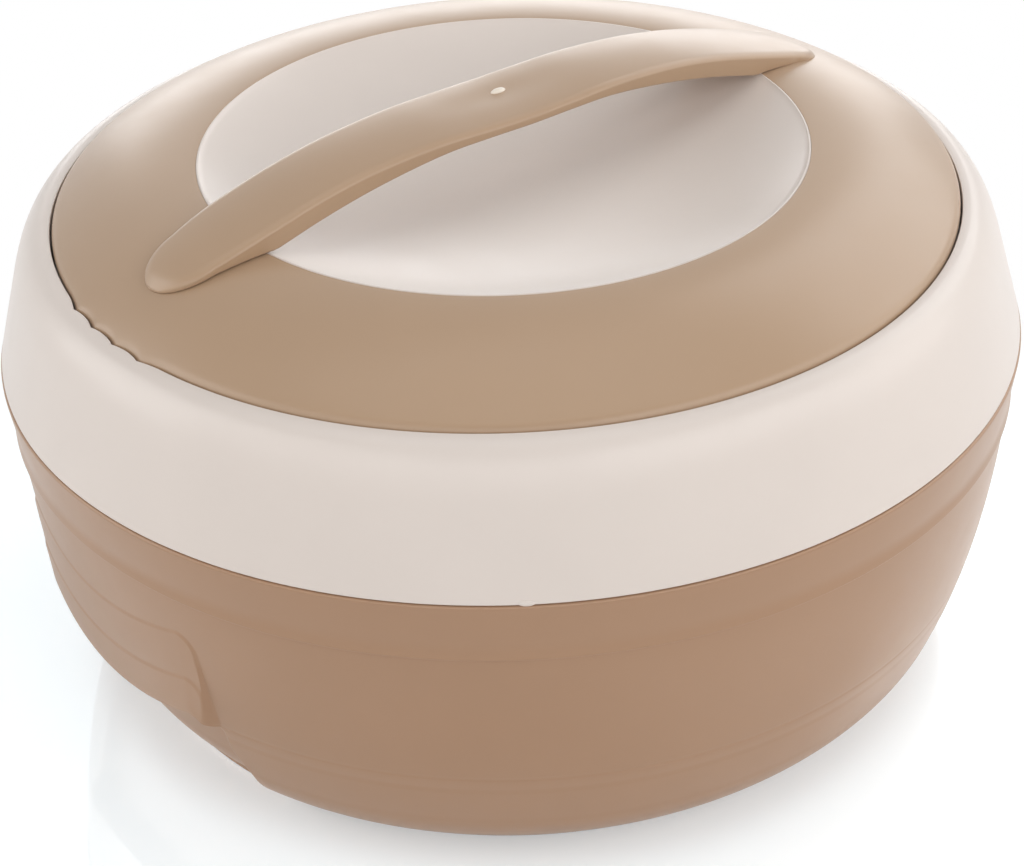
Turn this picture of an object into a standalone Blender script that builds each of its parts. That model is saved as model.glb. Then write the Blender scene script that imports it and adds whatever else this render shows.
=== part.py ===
"""Insulated food container: a round double-walled bowl with side grips and a lift-off lid.

The lid drops into a well in the collar and carries a strap handle. Metres, +Z up. The handle lies
along X, the axis of the bowl is the Z axis and the foot stands on Z = 0.
"""

import math

import bmesh
import bpy
from mathutils import Matrix, Vector

# Clearances
FIT_GAP = 0.0003
FOAM_GAP = 0.0006
LID_GAP = 0.0012
PLUG_GAP = 0.0015

# Walls
SHELL_WALL = 0.0024
LINER_WALL = 0.0020
STEEL_WALL = 0.0008

# Body: its greatest radius and the height of the joint between base and collar
COLLAR_RADIUS = 0.1350
JOINT_HEIGHT = 0.0930

# Base shell, from the rim down: insets from the greatest radius
RIM_INSET = 0.0004
RIM_ROUND = 0.0006
BAND_HEIGHT = 0.0166
BAND_FOOT_INSET = 0.0011
BAND_STEP = 0.0005
BULGE_INSET = 0.0055
BULGE_HEIGHT = 0.0420
TURN_INSET = 0.0135
TURN_HEIGHT = 0.0180
CORNER_INSET = 0.0160
CORNER_HEIGHT = 0.0094
FOOT_INSET = 0.0280
FOOT_ROUND = 0.0005
FOOT_WIDTH = 0.0040
FOOT_HEIGHT = 0.0030
FOOT_DRAFT = 0.0008
FILLING_RADIUS = 0.0080

# Side grips: a proud pad over a finger recess at both ends of the handle's axis
GRIP_HALF_ANGLE = math.radians(16.0)
GRIP_SIDE_ANGLE = math.radians(2.5)
GRIP_SPREAD_ANGLE = math.radians(1.5)
GRIP_TOP_RISE = 0.0145
GRIP_CORNER_DROP = 0.0020
GRIP_TIER_RISE = 0.0124
GRIP_TIER_PROUD = 0.0017
GRIP_LIP_HEIGHT = 0.0386
GRIP_LIP_PROUD = 0.0029
GRIP_LIP_LAND = 0.0020
GRIP_LIP_DROP = 0.0030
GRIP_LIP_RISE = 0.0012
GRIP_RECESS = 0.0040
GRIP_DIP = 0.0050

# Collar, from the joint up: insets from the greatest radius and rises above the joint
COLLAR_ROUND = 0.0004
FLARE_INSET = 0.0036
FLARE_RISE = 0.0080
SHOULDER_INSET = 0.0068
SHOULDER_RISE = 0.0225
BROW_INSET = 0.0080
BROW_RISE = 0.0348
CREST_INSET = 0.0150
CREST_RISE = 0.0349
LIP_RISE = 0.0350
LIP_ROUND = 0.0004
POCKET_DEPTH = 0.0036
LEDGE_DROP = 0.0090
TONGUE_DEPTH = 0.0085
TONGUE_LEAD = 0.0005

# Food bowl
MOUTH_INSET = 0.0300
FLANGE_WIDTH = 0.0080
FLANGE_ROUND = 0.0016
BOWL_TURN_INSET = 0.0065
BOWL_TURN_HEIGHT = 0.0460
BOWL_CORNER_WIDTH = 0.0205
BOWL_FLOOR_HEIGHT = 0.0260

# Filler plug
PLUG_HEAD_RADIUS = 0.0110
PLUG_HEAD_HEIGHT = 0.0014
PLUG_BORE_RADIUS = 0.0050
PLUG_TOP_WALL = 0.0016

# Lid cover
LID_INSET = 0.0179
LID_EDGE_RISE = 0.0005
LID_EDGE_ROUND = 0.0006
LID_EDGE_DEPTH = 0.0026
SKIRT_INSET = 0.0009
SKIRT_LIFT = 0.0006
LINER_STEP = 0.0014
DOME_RISE = 0.0122
DOME_BEND_INSET = 0.0192
DOME_BEND_DROP = 0.0005
INNER_LIP_DEPTH = 0.0044

# Scallops of the lid's edge at both ends of the handle
SCALLOP_COUNT = 3
SCALLOP_PITCH = math.radians(5.0)
SCALLOP_SWEEP = math.radians(4.0)
SCALLOP_REACH = 0.0012
SCALLOP_DEPTH = 0.0009

# Lid dish
DISH_INSET = 0.0385
DISH_PROUD = 0.0002
DISH_RIM = 0.0010
DISH_DEPTH = 0.0122
DISH_BEND_INSET = 0.0186
DISH_FLANGE_WIDTH = 0.0070

# Lid liner and gasket
LINER_RISE = 0.0037
LINER_PLUG_DEPTH = 0.0110
LINER_PLUG_ROUND = 0.0040
GASKET_LIP_WIDTH = 0.0026
GASKET_BODY = 0.0014
GASKET_LIP_INSET = 0.0034

# Strap handle: half a strap, from its middle to its end
STRAP_END_INSET = 0.0126
STRAP_RISE = 0.0133
STRAP_END_DROP = 0.0178
STRAP_HALF_WIDTH = 0.0140
STRAP_SIDE = 0.0060
STRAP_CROWN = 0.0009
STRAP_BELLY = 0.0014
STRAP_SINK = 0.0020
STRAP_ROOT_GAP = 0.0014
# station along the reach, half width, drop of the top edge, height of the side, crown and belly
STRAP_SHARES = (
    (0.000, 1.000, 0.000, 0.450, 1.00, 1.00),
    (0.120, 0.985, -0.011, 0.470, 1.00, 1.00),
    (0.240, 0.950, -0.023, 0.560, 1.00, 0.90),
    (0.360, 0.915, 0.008, 0.720, 1.00, 0.60),
    (0.480, 0.890, 0.080, 0.860, 1.00, 0.40),
    (0.600, 0.875, 0.208, 0.950, 1.00, 0.20),
    (0.720, 0.860, 0.386, 1.000, 1.00, 0.10),
    (0.810, 0.820, 0.540, 1.000, 1.00, 0.10),
    (0.880, 0.745, 0.676, 1.000, 1.00, 0.10),
    (0.940, 0.620, 0.807, 1.000, 0.90, 0.10),
    (0.975, 0.450, 0.898, 1.000, 0.60, 0.10),
    (0.993, 0.250, 0.960, 1.000, 0.40, 0.10),
    (1.000, 0.120, 1.000, 1.000, 0.20, 0.10),
)

# across the strap: share of the half width for each height, then the heights' own shares
STRAP_WIDTH_SHARES = (0.00, 0.62, 0.94, 1.00, 0.99, 0.90, 0.00)
STRAP_CROWN_SHARE = 0.62
STRAP_CORNER_SHARE = 0.25
STRAP_ROUND_SHARE = 0.30

# Handle screws
SCREW_INSET = 0.0140
SCREW_RADIUS = 0.0017
SCREW_BITE = 0.0036
SCREW_HEAD_RADIUS = 0.0034
SCREW_HEAD_HEIGHT = 0.0022
SOCKET_RADIUS = 0.0014
SOCKET_DEPTH = 0.0013
BOSS_WALL = 0.0026
BOSS_HEIGHT = 0.0014

# Facets
PLAIN_STEPS = 20
GRIP_FACE_STEPS = 3
SCALLOP_PLAIN_STEPS = 20
FLUTE_STEPS = 4
SWEEP_STEPS = 2
FOAM_PLAIN_STEPS = 14
COLLAR_STEPS = 56
INNER_STEPS = 36
ENVELOPE_STEPS = 80
SMALL_STEPS = 12
CURVE_STEPS = 3
LONG_CURVE_STEPS = 4
WELD = 0.00001
OVERRUN = 0.0050
SHARP_ANGLE = math.radians(32.0)

# Worked out from the sizes above
SCALLOP_HALF_ANGLE = SCALLOP_COUNT * SCALLOP_PITCH / 2
GRIP_END_ANGLE = GRIP_HALF_ANGLE + GRIP_SIDE_ANGLE + GRIP_SPREAD_ANGLE
BASE_FLAT_SHARE = math.cos((math.pi / 2 - GRIP_END_ANGLE) / PLAIN_STEPS)
COVER_FLAT_SHARE = math.cos(
    (math.pi / 2 - SCALLOP_HALF_ANGLE - SCALLOP_SWEEP) / SCALLOP_PLAIN_STEPS
)
RIM_RADIUS = COLLAR_RADIUS - RIM_INSET
RIM_HEIGHT = JOINT_HEIGHT - FIT_GAP
BAND_FOOT_RADIUS = COLLAR_RADIUS - BAND_FOOT_INSET
BAND_FOOT_HEIGHT = RIM_HEIGHT - BAND_HEIGHT
RIM_INNER_RADIUS = RIM_RADIUS - SHELL_WALL
BULGE_RADIUS = COLLAR_RADIUS - BULGE_INSET
TURN_RADIUS = COLLAR_RADIUS - TURN_INSET
CORNER_RADIUS = COLLAR_RADIUS - CORNER_INSET
FOOT_RADIUS = COLLAR_RADIUS - FOOT_INSET
FLOOR_HEIGHT = FOOT_HEIGHT + SHELL_WALL
GRIP_TIER_HEIGHT = GRIP_LIP_HEIGHT + GRIP_TIER_RISE
GRIP_TOP_HEIGHT = GRIP_TIER_HEIGHT + GRIP_TOP_RISE
FLARE_RADIUS = COLLAR_RADIUS - FLARE_INSET
FLARE_HEIGHT = JOINT_HEIGHT + FLARE_RISE
SHOULDER_RADIUS = COLLAR_RADIUS - SHOULDER_INSET
SHOULDER_HEIGHT = JOINT_HEIGHT + SHOULDER_RISE
BROW_RADIUS = COLLAR_RADIUS - BROW_INSET
BROW_HEIGHT = JOINT_HEIGHT + BROW_RISE
CREST_RADIUS = COLLAR_RADIUS - CREST_INSET
CREST_HEIGHT = JOINT_HEIGHT + CREST_RISE
LIP_HEIGHT = JOINT_HEIGHT + LIP_RISE
LEDGE_HEIGHT = LIP_HEIGHT - LEDGE_DROP
TONGUE_RADIUS = RIM_INNER_RADIUS * BASE_FLAT_SHARE - FIT_GAP
TONGUE_INNER_RADIUS = TONGUE_RADIUS - SHELL_WALL
LID_RADIUS = COLLAR_RADIUS - LID_INSET
LIP_RADIUS = LID_RADIUS + LID_GAP
WELL_BACK_RADIUS = LIP_RADIUS + SHELL_WALL
MOUTH_RADIUS = COLLAR_RADIUS - MOUTH_INSET
BOWL_TURN_RADIUS = MOUTH_RADIUS - BOWL_TURN_INSET
BOWL_FLOOR_RADIUS = BOWL_TURN_RADIUS - BOWL_CORNER_WIDTH
FLANGE_RADIUS = MOUTH_RADIUS + FLANGE_WIDTH
REBATE_HEIGHT = LEDGE_HEIGHT - STEEL_WALL - FIT_GAP
REBATE_RADIUS = FLANGE_RADIUS + FIT_GAP
LEDGE_INNER_RADIUS = MOUTH_RADIUS + STEEL_WALL + FIT_GAP
LEDGE_BACK_HEIGHT = REBATE_HEIGHT - SHELL_WALL
SKIRT_RADIUS = LID_RADIUS - SKIRT_INSET
SKIRT_INNER_RADIUS = SKIRT_RADIUS - SHELL_WALL
SKIRT_FOOT_HEIGHT = LEDGE_HEIGHT + SKIRT_LIFT
LID_EDGE_HEIGHT = LIP_HEIGHT + LID_EDGE_RISE
DOME_HEIGHT = LID_EDGE_HEIGHT + DOME_RISE
DOME_BEND_RADIUS = LID_RADIUS - DOME_BEND_INSET
DOME_BEND_HEIGHT = DOME_HEIGHT - DOME_BEND_DROP
LINER_HEIGHT = LEDGE_HEIGHT + LINER_RISE
LINER_TOP_HEIGHT = LINER_HEIGHT + LINER_WALL
LINER_RADIUS = SKIRT_INNER_RADIUS * COVER_FLAT_SHARE - FIT_GAP
LINER_PLUG_RADIUS = MOUTH_RADIUS - PLUG_GAP
LINER_FOOT_HEIGHT = LINER_HEIGHT - LINER_PLUG_DEPTH
DISH_RADIUS = LID_RADIUS - DISH_INSET
DISH_BEND_RADIUS = DISH_RADIUS - DISH_BEND_INSET
COVER_INNER_RADIUS = DISH_RADIUS / COVER_FLAT_SHARE + FIT_GAP
DISH_RIM_HEIGHT = DOME_HEIGHT + DISH_PROUD
DISH_FLOOR_HEIGHT = DISH_RIM_HEIGHT - DISH_DEPTH
DISH_FLANGE_HEIGHT = DOME_HEIGHT - INNER_LIP_DEPTH - FIT_GAP
GASKET_TOP_HEIGHT = LINER_HEIGHT - FIT_GAP
GASKET_FOOT_HEIGHT = LEDGE_HEIGHT + FIT_GAP
GASKET_RADIUS = FLANGE_RADIUS - FIT_GAP
STRAP_REACH = LID_RADIUS - STRAP_END_INSET
STRAP_HEIGHT = DOME_HEIGHT + STRAP_RISE
STRAP_ROOT = DISH_RADIUS + STRAP_ROOT_GAP
SCREW_STATION = STRAP_REACH - SCREW_INSET
BOSS_RADIUS = SCREW_RADIUS + BOSS_WALL


def bezier(start, bend, end, count):
    """The points of a curve of one bend, cut into count steps, both ends included."""
    points = []
    for step in range(count + 1):
        share = step / count
        rest = 1 - share
        points.append(
            tuple(
                rest * rest * a + 2 * rest * share * b + share * share * c
                for a, b, c in zip(start, bend, end)
            )
        )
    return points


def radius_at(start, bend, end, height):
    """The radius at which a curve of one bend passes a height."""
    a = start[1] - 2 * bend[1] + end[1]
    b = 2 * (bend[1] - start[1])
    c = start[1] - height
    share = 2 * c / (-b + math.copysign(math.sqrt(b * b - 4 * a * c), -b))
    rest = 1 - share
    return rest * rest * start[0] + 2 * rest * share * bend[0] + share * share * end[0]


def inset(path, distance):
    """A path moved into the wall: to the right of a path that runs down the outer side."""
    normals = []
    for near, far in zip(path, path[1:]):
        length = math.dist(near, far)
        normals.append(((far[1] - near[1]) / length, (near[0] - far[0]) / length))
    moved = []
    for index, point in enumerate(path):
        before = normals[max(index - 1, 0)]
        after = normals[min(index, len(normals) - 1)]
        both = (before[0] + after[0], before[1] + after[1])
        reach = 2 * distance / (both[0] ** 2 + both[1] ** 2)
        moved.append((point[0] + both[0] * reach, point[1] + both[1] * reach))
    return moved


def clipped(path, axis, low, high):
    """The stretch of a path whose radius (axis 0) or height (axis 1) lies between two limits."""
    kept = []
    for near, far in zip(path, path[1:]):
        if low <= near[axis] <= high:
            kept.append(near)
        ends = sorted((near[axis], far[axis]))
        crossed = [limit for limit in (low, high) if ends[0] < limit < ends[1]]
        for limit in sorted(crossed, reverse=near[axis] > far[axis]):
            share = (limit - near[axis]) / (far[axis] - near[axis])
            kept.append(tuple(a + (b - a) * share for a, b in zip(near, far)))
    if low <= path[-1][axis] <= high:
        kept.append(path[-1])
    return kept


def blend(first, second, share):
    """The points of two outlines mixed, point by point."""
    return [tuple(a + (b - a) * share for a, b in zip(p, q)) for p, q in zip(first, second)]


def ease(share):
    """A smooth ramp from nought to one."""
    share = min(max(share, 0), 1)
    return share * share * (3 - 2 * share)


def off_axis(azimuth):
    """The angle between an azimuth and the nearer end of the handle's axis."""
    return abs((azimuth + math.pi / 2) % math.pi - math.pi / 2)


def ring_azimuths(marks, plain_steps):
    """Azimuths round a ring: at the marks beside both ends of the handle's axis, even between them."""
    last = marks[-1]
    half = [-mark for mark in reversed(marks) if mark > 0] + marks
    gap = (math.pi - 2 * last) / plain_steps
    half += [last + gap * step for step in range(1, plain_steps)]
    return half + [azimuth + math.pi for azimuth in half]


def grip_azimuths(plain_steps):
    """Through the pad's face, then down its side and out to the end of the finger recess."""
    face = [GRIP_HALF_ANGLE * step / GRIP_FACE_STEPS for step in range(GRIP_FACE_STEPS + 1)]
    side = [GRIP_HALF_ANGLE + GRIP_SIDE_ANGLE / 2, GRIP_HALF_ANGLE + GRIP_SIDE_ANGLE]
    return ring_azimuths([*face, *side, GRIP_END_ANGLE], plain_steps)


def scallop_azimuths():
    """Even steps through half the scallops, then the sweep back to the plain edge."""
    flute_count = SCALLOP_COUNT * FLUTE_STEPS // 2
    flutes = [SCALLOP_HALF_ANGLE * step / flute_count for step in range(flute_count + 1)]
    sweep = [SCALLOP_SWEEP * step / SWEEP_STEPS for step in range(1, SWEEP_STEPS + 1)]
    return flutes + [SCALLOP_HALF_ANGLE + angle for angle in sweep]


def scallop_reach(azimuth):
    """How far the lid's edge stands out: cusps one pitch apart, hollow between, and a sweep at each end."""
    angle = off_axis(azimuth)
    if angle > SCALLOP_HALF_ANGLE:
        rest = max(1 - (angle - SCALLOP_HALF_ANGLE) / SCALLOP_SWEEP, 0)
        return SCALLOP_REACH * rest * rest
    start = SCALLOP_PITCH / 2 if SCALLOP_COUNT % 2 else 0
    turn = (angle + start) / SCALLOP_PITCH
    across = 2 * (turn - math.floor(turn)) - 1
    return SCALLOP_REACH - SCALLOP_DEPTH * (1 - across * across)


def grip_weights(azimuth):
    """How much of the pad and how much of the finger recess an azimuth has, from 0 to 1."""
    past = off_axis(azimuth) - GRIP_HALF_ANGLE
    return ease(1 - past / GRIP_SIDE_ANGLE), ease(1 - (past - GRIP_SPREAD_ANGLE) / GRIP_SIDE_ANGLE)


def grip_dip(azimuth):
    """How far the pad's crease, tier and lip hang lower towards the pad's middle."""
    share = min(off_axis(azimuth) / GRIP_HALF_ANGLE, 1)
    return GRIP_DIP * (1 - share * share)


def material(name, colour, roughness, metallic=0.0):
    made = bpy.data.materials.new(name)
    made.use_nodes = True
    shader = made.node_tree.nodes["Principled BSDF"]
    shader.inputs["Base Color"].default_value = (*colour, 1.0)
    shader.inputs["Roughness"].default_value = roughness
    shader.inputs["Metallic"].default_value = metallic
    made.diffuse_color = (*colour, 1.0)
    return made


def add_object(name, mesh, collection, finish=None):
    made = bpy.data.objects.new(name, mesh)
    collection.objects.link(made)
    if finish:
        mesh.materials.append(finish)
    return made


def add_cutter(name, mesh, collection):
    made = add_object(name, mesh, collection)
    made.hide_render = True
    made.display_type = "WIRE"
    return made


def mesh_of(name, bm):
    """A smooth mesh with sharp edges where the faces turn."""
    bmesh.ops.recalc_face_normals(bm, faces=bm.faces)
    mesh = bpy.data.meshes.new(name)
    bm.to_mesh(mesh)
    bm.free()
    mesh.shade_smooth()
    mesh.set_sharp_from_angle(angle=SHARP_ANGLE)
    return mesh


def lofted_ring(name, azimuths, outline_at):
    """A ring whose outline changes as it goes round. An outline that starts on the axis also ends there."""
    bm = bmesh.new()
    columns = []
    for azimuth in azimuths:
        turn = Matrix.Rotation(azimuth, 3, "Z")
        outline = outline_at(azimuth)
        columns.append([bm.verts.new(turn @ Vector((r, 0, z))) for r, z in outline])
    on_axis = outline[0][0] < WELD
    for near, far in zip(columns, columns[1:] + columns[:1]):
        for index in range(len(near) - on_axis):
            after = (index + 1) % len(near)
            bm.faces.new((near[index], far[index], far[after], near[after]))
    bmesh.ops.remove_doubles(bm, verts=bm.verts, dist=WELD)
    return mesh_of(name, bm)


def turned(name, outline, steps, collection, finish=None):
    """A turned solid from an outline that runs down its outer side."""
    on_axis = outline[0][0] < WELD
    edges = [(index, index + 1) for index in range(len(outline) - 1)]
    if not on_axis:
        edges.append((len(outline) - 1, 0))
    mesh = bpy.data.meshes.new(name)
    mesh.from_pydata([(r, 0, z) for r, z in outline], edges, [])
    made = add_object(name, mesh, collection, finish)
    screw = made.modifiers.new("turn", "SCREW")
    screw.angle = math.tau
    screw.steps = steps
    screw.render_steps = steps
    screw.use_merge_vertices = True
    screw.merge_threshold = WELD
    screw.use_smooth_shade = True
    return made


def cylinder_mesh(name, radius, low, high):
    bm = bmesh.new()
    bmesh.ops.create_cone(
        bm,
        cap_ends=True,
        segments=SMALL_STEPS,
        radius1=radius,
        radius2=radius,
        depth=high - low,
        matrix=Matrix.Translation((0, 0, (high + low) / 2)),
    )
    return mesh_of(name, bm)


def boolean(target, other, operation):
    modifier = target.modifiers.new(other.name, "BOOLEAN")
    modifier.operation = operation
    modifier.object = other


def wall_radius(height):
    """The radius of the base's outer wall at a height between the band and the turn to the foot."""
    start = (BAND_FOOT_RADIUS - BAND_STEP, BAND_FOOT_HEIGHT)
    return radius_at(start, (BULGE_RADIUS, BULGE_HEIGHT), (TURN_RADIUS, TURN_HEIGHT), height)


def corner_path(recess):
    """The turn from the wall in to the foot, with the finger recess running out at the foot."""
    corner = (CORNER_RADIUS, CORNER_HEIGHT)
    path = bezier((TURN_RADIUS, TURN_HEIGHT), corner, (FOOT_RADIUS, FOOT_ROUND), CURVE_STEPS)
    turned_in = []
    for radius, height in path:
        climb = (height - FOOT_ROUND) / (TURN_HEIGHT - FOOT_ROUND)
        turned_in.append((radius - recess * math.sqrt(climb * (2 - climb)), height))
    return turned_in


def wall_path(azimuth):
    """The base's outer wall from the band's foot to the foot ring, with the grips where they are."""
    top = (BAND_FOOT_RADIUS - BAND_STEP, BAND_FOOT_HEIGHT)
    corner_top = GRIP_TOP_HEIGHT - GRIP_CORNER_DROP
    side_lip = GRIP_LIP_HEIGHT - GRIP_LIP_DROP
    side_land = side_lip - GRIP_LIP_LAND
    plain_wall = [
        top,
        (wall_radius(corner_top), corner_top),
        (wall_radius(GRIP_TIER_HEIGHT), GRIP_TIER_HEIGHT),
        (wall_radius(side_lip), side_lip),
    ]
    crease = GRIP_TOP_HEIGHT - grip_dip(azimuth)
    tier = GRIP_TIER_HEIGHT - grip_dip(azimuth)
    lip = GRIP_LIP_HEIGHT - grip_dip(azimuth)
    pad = [
        top,
        (wall_radius(crease), crease),
        (wall_radius(tier) + GRIP_TIER_PROUD, tier),
        (wall_radius(lip) + GRIP_LIP_PROUD, lip),
    ]
    plain_turn = [(wall_radius(side_land), side_land), *corner_path(0)]
    under_lip = (wall_radius(lip) - GRIP_RECESS, lip + GRIP_LIP_RISE)
    recess = [under_lip, *corner_path(GRIP_RECESS)]
    pad_weight, recess_weight = grip_weights(azimuth)
    return blend(plain_wall, pad, pad_weight) + blend(plain_turn, recess, recess_weight)


def inner_wall_path(azimuth, distance, floor_height):
    """The base's wall moved inwards, from the band's foot to a floor, without the pad's tier."""
    top, crease, _, *rest = inset(wall_path(azimuth), distance)
    return clipped([top, crease, *rest], 1, floor_height, JOINT_HEIGHT)


def base_outline(azimuth):
    rim = [
        (RIM_INNER_RADIUS, RIM_HEIGHT),
        (RIM_RADIUS - RIM_ROUND, RIM_HEIGHT),
        (RIM_RADIUS, RIM_HEIGHT - RIM_ROUND),
        (BAND_FOOT_RADIUS, BAND_FOOT_HEIGHT + BAND_STEP),
    ]
    foot = [
        (FOOT_RADIUS - FOOT_ROUND, 0),
        (FOOT_RADIUS - FOOT_WIDTH, 0),
        (FOOT_RADIUS - FOOT_WIDTH - FOOT_DRAFT, FOOT_HEIGHT),
        (FILLING_RADIUS, FOOT_HEIGHT),
        (FILLING_RADIUS, FLOOR_HEIGHT),
    ]
    inner = inner_wall_path(azimuth, SHELL_WALL, FLOOR_HEIGHT)
    seat = (RIM_INNER_RADIUS, JOINT_HEIGHT - TONGUE_DEPTH - FIT_GAP)
    return rim + wall_path(azimuth) + foot + inner[::-1] + [seat]


def make_base(collection, finish):
    mesh = lofted_ring("base_shell", grip_azimuths(PLAIN_STEPS), base_outline)
    return add_object("base_shell", mesh, collection, finish)


def collar_wall():
    """The collar's outer side from the crest beside the lip down to the joint."""
    shoulder = bezier(
        (CREST_RADIUS, CREST_HEIGHT),
        (BROW_RADIUS, BROW_HEIGHT),
        (SHOULDER_RADIUS, SHOULDER_HEIGHT),
        CURVE_STEPS,
    )
    flare = bezier(
        (SHOULDER_RADIUS, SHOULDER_HEIGHT),
        (FLARE_RADIUS, FLARE_HEIGHT),
        (COLLAR_RADIUS, JOINT_HEIGHT + COLLAR_ROUND),
        CURVE_STEPS,
    )
    return shoulder + flare[1:]


def collar_back(distance):
    """The hollow side of the collar: up from the tongue, over the shoulder and down the well's back."""
    tongue = TONGUE_RADIUS - distance
    well = WELL_BACK_RADIUS + distance - SHELL_WALL
    ledge = LEDGE_BACK_HEIGHT + SHELL_WALL - distance
    hollow = inset(collar_wall()[::2], distance)
    return clipped(hollow, 0, well, tongue)[::-1] + [(well, ledge)]


def scallop_pocket_mesh(name):
    """A block that clears the lip for the lid's scallops, with the lid's gap all round."""
    marks = scallop_azimuths()
    azimuths = [-mark for mark in reversed(marks) if mark > 0] + marks
    low = LIP_HEIGHT - POCKET_DEPTH
    high = LIP_HEIGHT + OVERRUN
    back = LIP_RADIUS - OVERRUN
    plan = []
    for azimuth in azimuths:
        radius = LIP_RADIUS + scallop_reach(azimuth)
        plan.append((radius * math.cos(azimuth), radius * math.sin(azimuth)))
    for azimuth in (azimuths[-1], azimuths[0]):
        plan.append((back * math.cos(azimuth), back * math.sin(azimuth)))
    bm = bmesh.new()
    floor = bm.faces.new([bm.verts.new((x, y, low)) for x, y in plan])
    walls = bmesh.ops.extrude_face_region(bm, geom=[floor])
    lifted = [part for part in walls["geom"] if isinstance(part, bmesh.types.BMVert)]
    bmesh.ops.translate(bm, verts=lifted, vec=(0, 0, high - low))
    return mesh_of(name, bm)


def make_collar(collection, cutters, finish):
    outline = [
        (LIP_RADIUS + LIP_ROUND, LIP_HEIGHT),
        *collar_wall(),
        (COLLAR_RADIUS - COLLAR_ROUND, JOINT_HEIGHT),
        (TONGUE_RADIUS, JOINT_HEIGHT),
        (TONGUE_RADIUS, JOINT_HEIGHT - TONGUE_DEPTH + TONGUE_LEAD),
        (TONGUE_RADIUS - TONGUE_LEAD, JOINT_HEIGHT - TONGUE_DEPTH),
        (TONGUE_INNER_RADIUS, JOINT_HEIGHT - TONGUE_DEPTH),
        *collar_back(SHELL_WALL),
        (LEDGE_INNER_RADIUS, LEDGE_BACK_HEIGHT),
        (LEDGE_INNER_RADIUS, REBATE_HEIGHT),
        (REBATE_RADIUS, REBATE_HEIGHT),
        (REBATE_RADIUS, LEDGE_HEIGHT),
        (LIP_RADIUS, LEDGE_HEIGHT),
        (LIP_RADIUS, LIP_HEIGHT - LIP_ROUND),
    ]
    collar = turned("collar_ring", outline, COLLAR_STEPS, collection, finish)
    for side, turn in (("front", math.pi), ("rear", 0)):
        pocket = add_cutter(f"scallop_pocket_{side}", scallop_pocket_mesh("pocket"), cutters)
        pocket.rotation_euler.z = turn
        boolean(collar, pocket, "DIFFERENCE")
    return collar


def bowl_wall():
    """The inside of the food bowl, from the flange's edge to the middle of its floor."""
    floor = (BOWL_FLOOR_RADIUS, BOWL_FLOOR_HEIGHT)
    turn = (BOWL_TURN_RADIUS, BOWL_TURN_HEIGHT)
    side_run = (MOUTH_RADIUS - BOWL_TURN_RADIUS) / (LEDGE_HEIGHT - BOWL_TURN_HEIGHT)
    bend = BOWL_TURN_RADIUS - side_run * (BOWL_TURN_HEIGHT - BOWL_FLOOR_HEIGHT)
    return [
        (MOUTH_RADIUS + FLANGE_ROUND, LEDGE_HEIGHT),
        (MOUTH_RADIUS, LEDGE_HEIGHT - FLANGE_ROUND),
        *bezier(turn, (bend, BOWL_FLOOR_HEIGHT), floor, CURVE_STEPS),
        (0, BOWL_FLOOR_HEIGHT),
    ]


def bowl_back(distance):
    """The outside of the bowl, from under its flange to below the middle of its floor."""
    path = inset(bowl_wall(), -distance)
    return path[1:-1] + [(0, BOWL_FLOOR_HEIGHT - distance)]


def make_bowl(collection, finish):
    under_flange = [
        (FLANGE_RADIUS, LEDGE_HEIGHT),
        (FLANGE_RADIUS, LEDGE_HEIGHT - STEEL_WALL),
        (MOUTH_RADIUS + STEEL_WALL, LEDGE_HEIGHT - STEEL_WALL),
    ]
    inside = bowl_wall()[::-1]
    outline = inside + under_flange + bowl_back(STEEL_WALL)[1:]
    return turned("inner_bowl", outline, INNER_STEPS, collection, finish)


def foam_outline(azimuth):
    floor_height = FLOOR_HEIGHT + FOAM_GAP
    distance = SHELL_WALL + FOAM_GAP
    outside = inner_wall_path(azimuth, distance, floor_height)
    collar = collar_back(distance)
    tongue_foot = (collar[0][0], JOINT_HEIGHT - TONGUE_DEPTH)
    bowl = bowl_back(STEEL_WALL + FOAM_GAP)
    neck = (bowl[0][0], collar[-1][1])
    return [(0, floor_height), *outside[::-1], tongue_foot, *collar, neck, *bowl[1:]]


def make_body_foam(collection, finish):
    mesh = lofted_ring("body_insulation", grip_azimuths(FOAM_PLAIN_STEPS), foam_outline)
    return add_object("body_insulation", mesh, collection, finish)


def make_filler_plug(collection, finish):
    """A push-in cap under the floor, hollow from above."""
    head_top = FOOT_HEIGHT - FIT_GAP
    stem = FILLING_RADIUS - FIT_GAP
    head_foot = head_top - PLUG_HEAD_HEIGHT
    outline = [
        (0, head_foot + PLUG_TOP_WALL),
        (PLUG_BORE_RADIUS, head_foot + PLUG_TOP_WALL),
        (PLUG_BORE_RADIUS, FLOOR_HEIGHT),
        (stem, FLOOR_HEIGHT),
        (stem, head_top),
        (PLUG_HEAD_RADIUS, head_top),
        (PLUG_HEAD_RADIUS, head_foot),
        (0, head_foot),
    ]
    return turned("filler_plug", outline, SMALL_STEPS, collection, finish)


def dome_path():
    """The top of the lid cover from the dish's edge to the start of its rounded edge."""
    return bezier(
        (COVER_INNER_RADIUS, DOME_HEIGHT),
        (DOME_BEND_RADIUS, DOME_BEND_HEIGHT),
        (LID_RADIUS - LID_EDGE_ROUND, LID_EDGE_HEIGHT),
        LONG_CURVE_STEPS,
    )


def dome_height(radius):
    """The height of the lid cover's top at a radius, on the same curve."""
    start, bend, end = dome_path()[0], (DOME_BEND_RADIUS, DOME_BEND_HEIGHT), dome_path()[-1]
    return radius_at(start[::-1], bend[::-1], end[::-1], radius)


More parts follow.
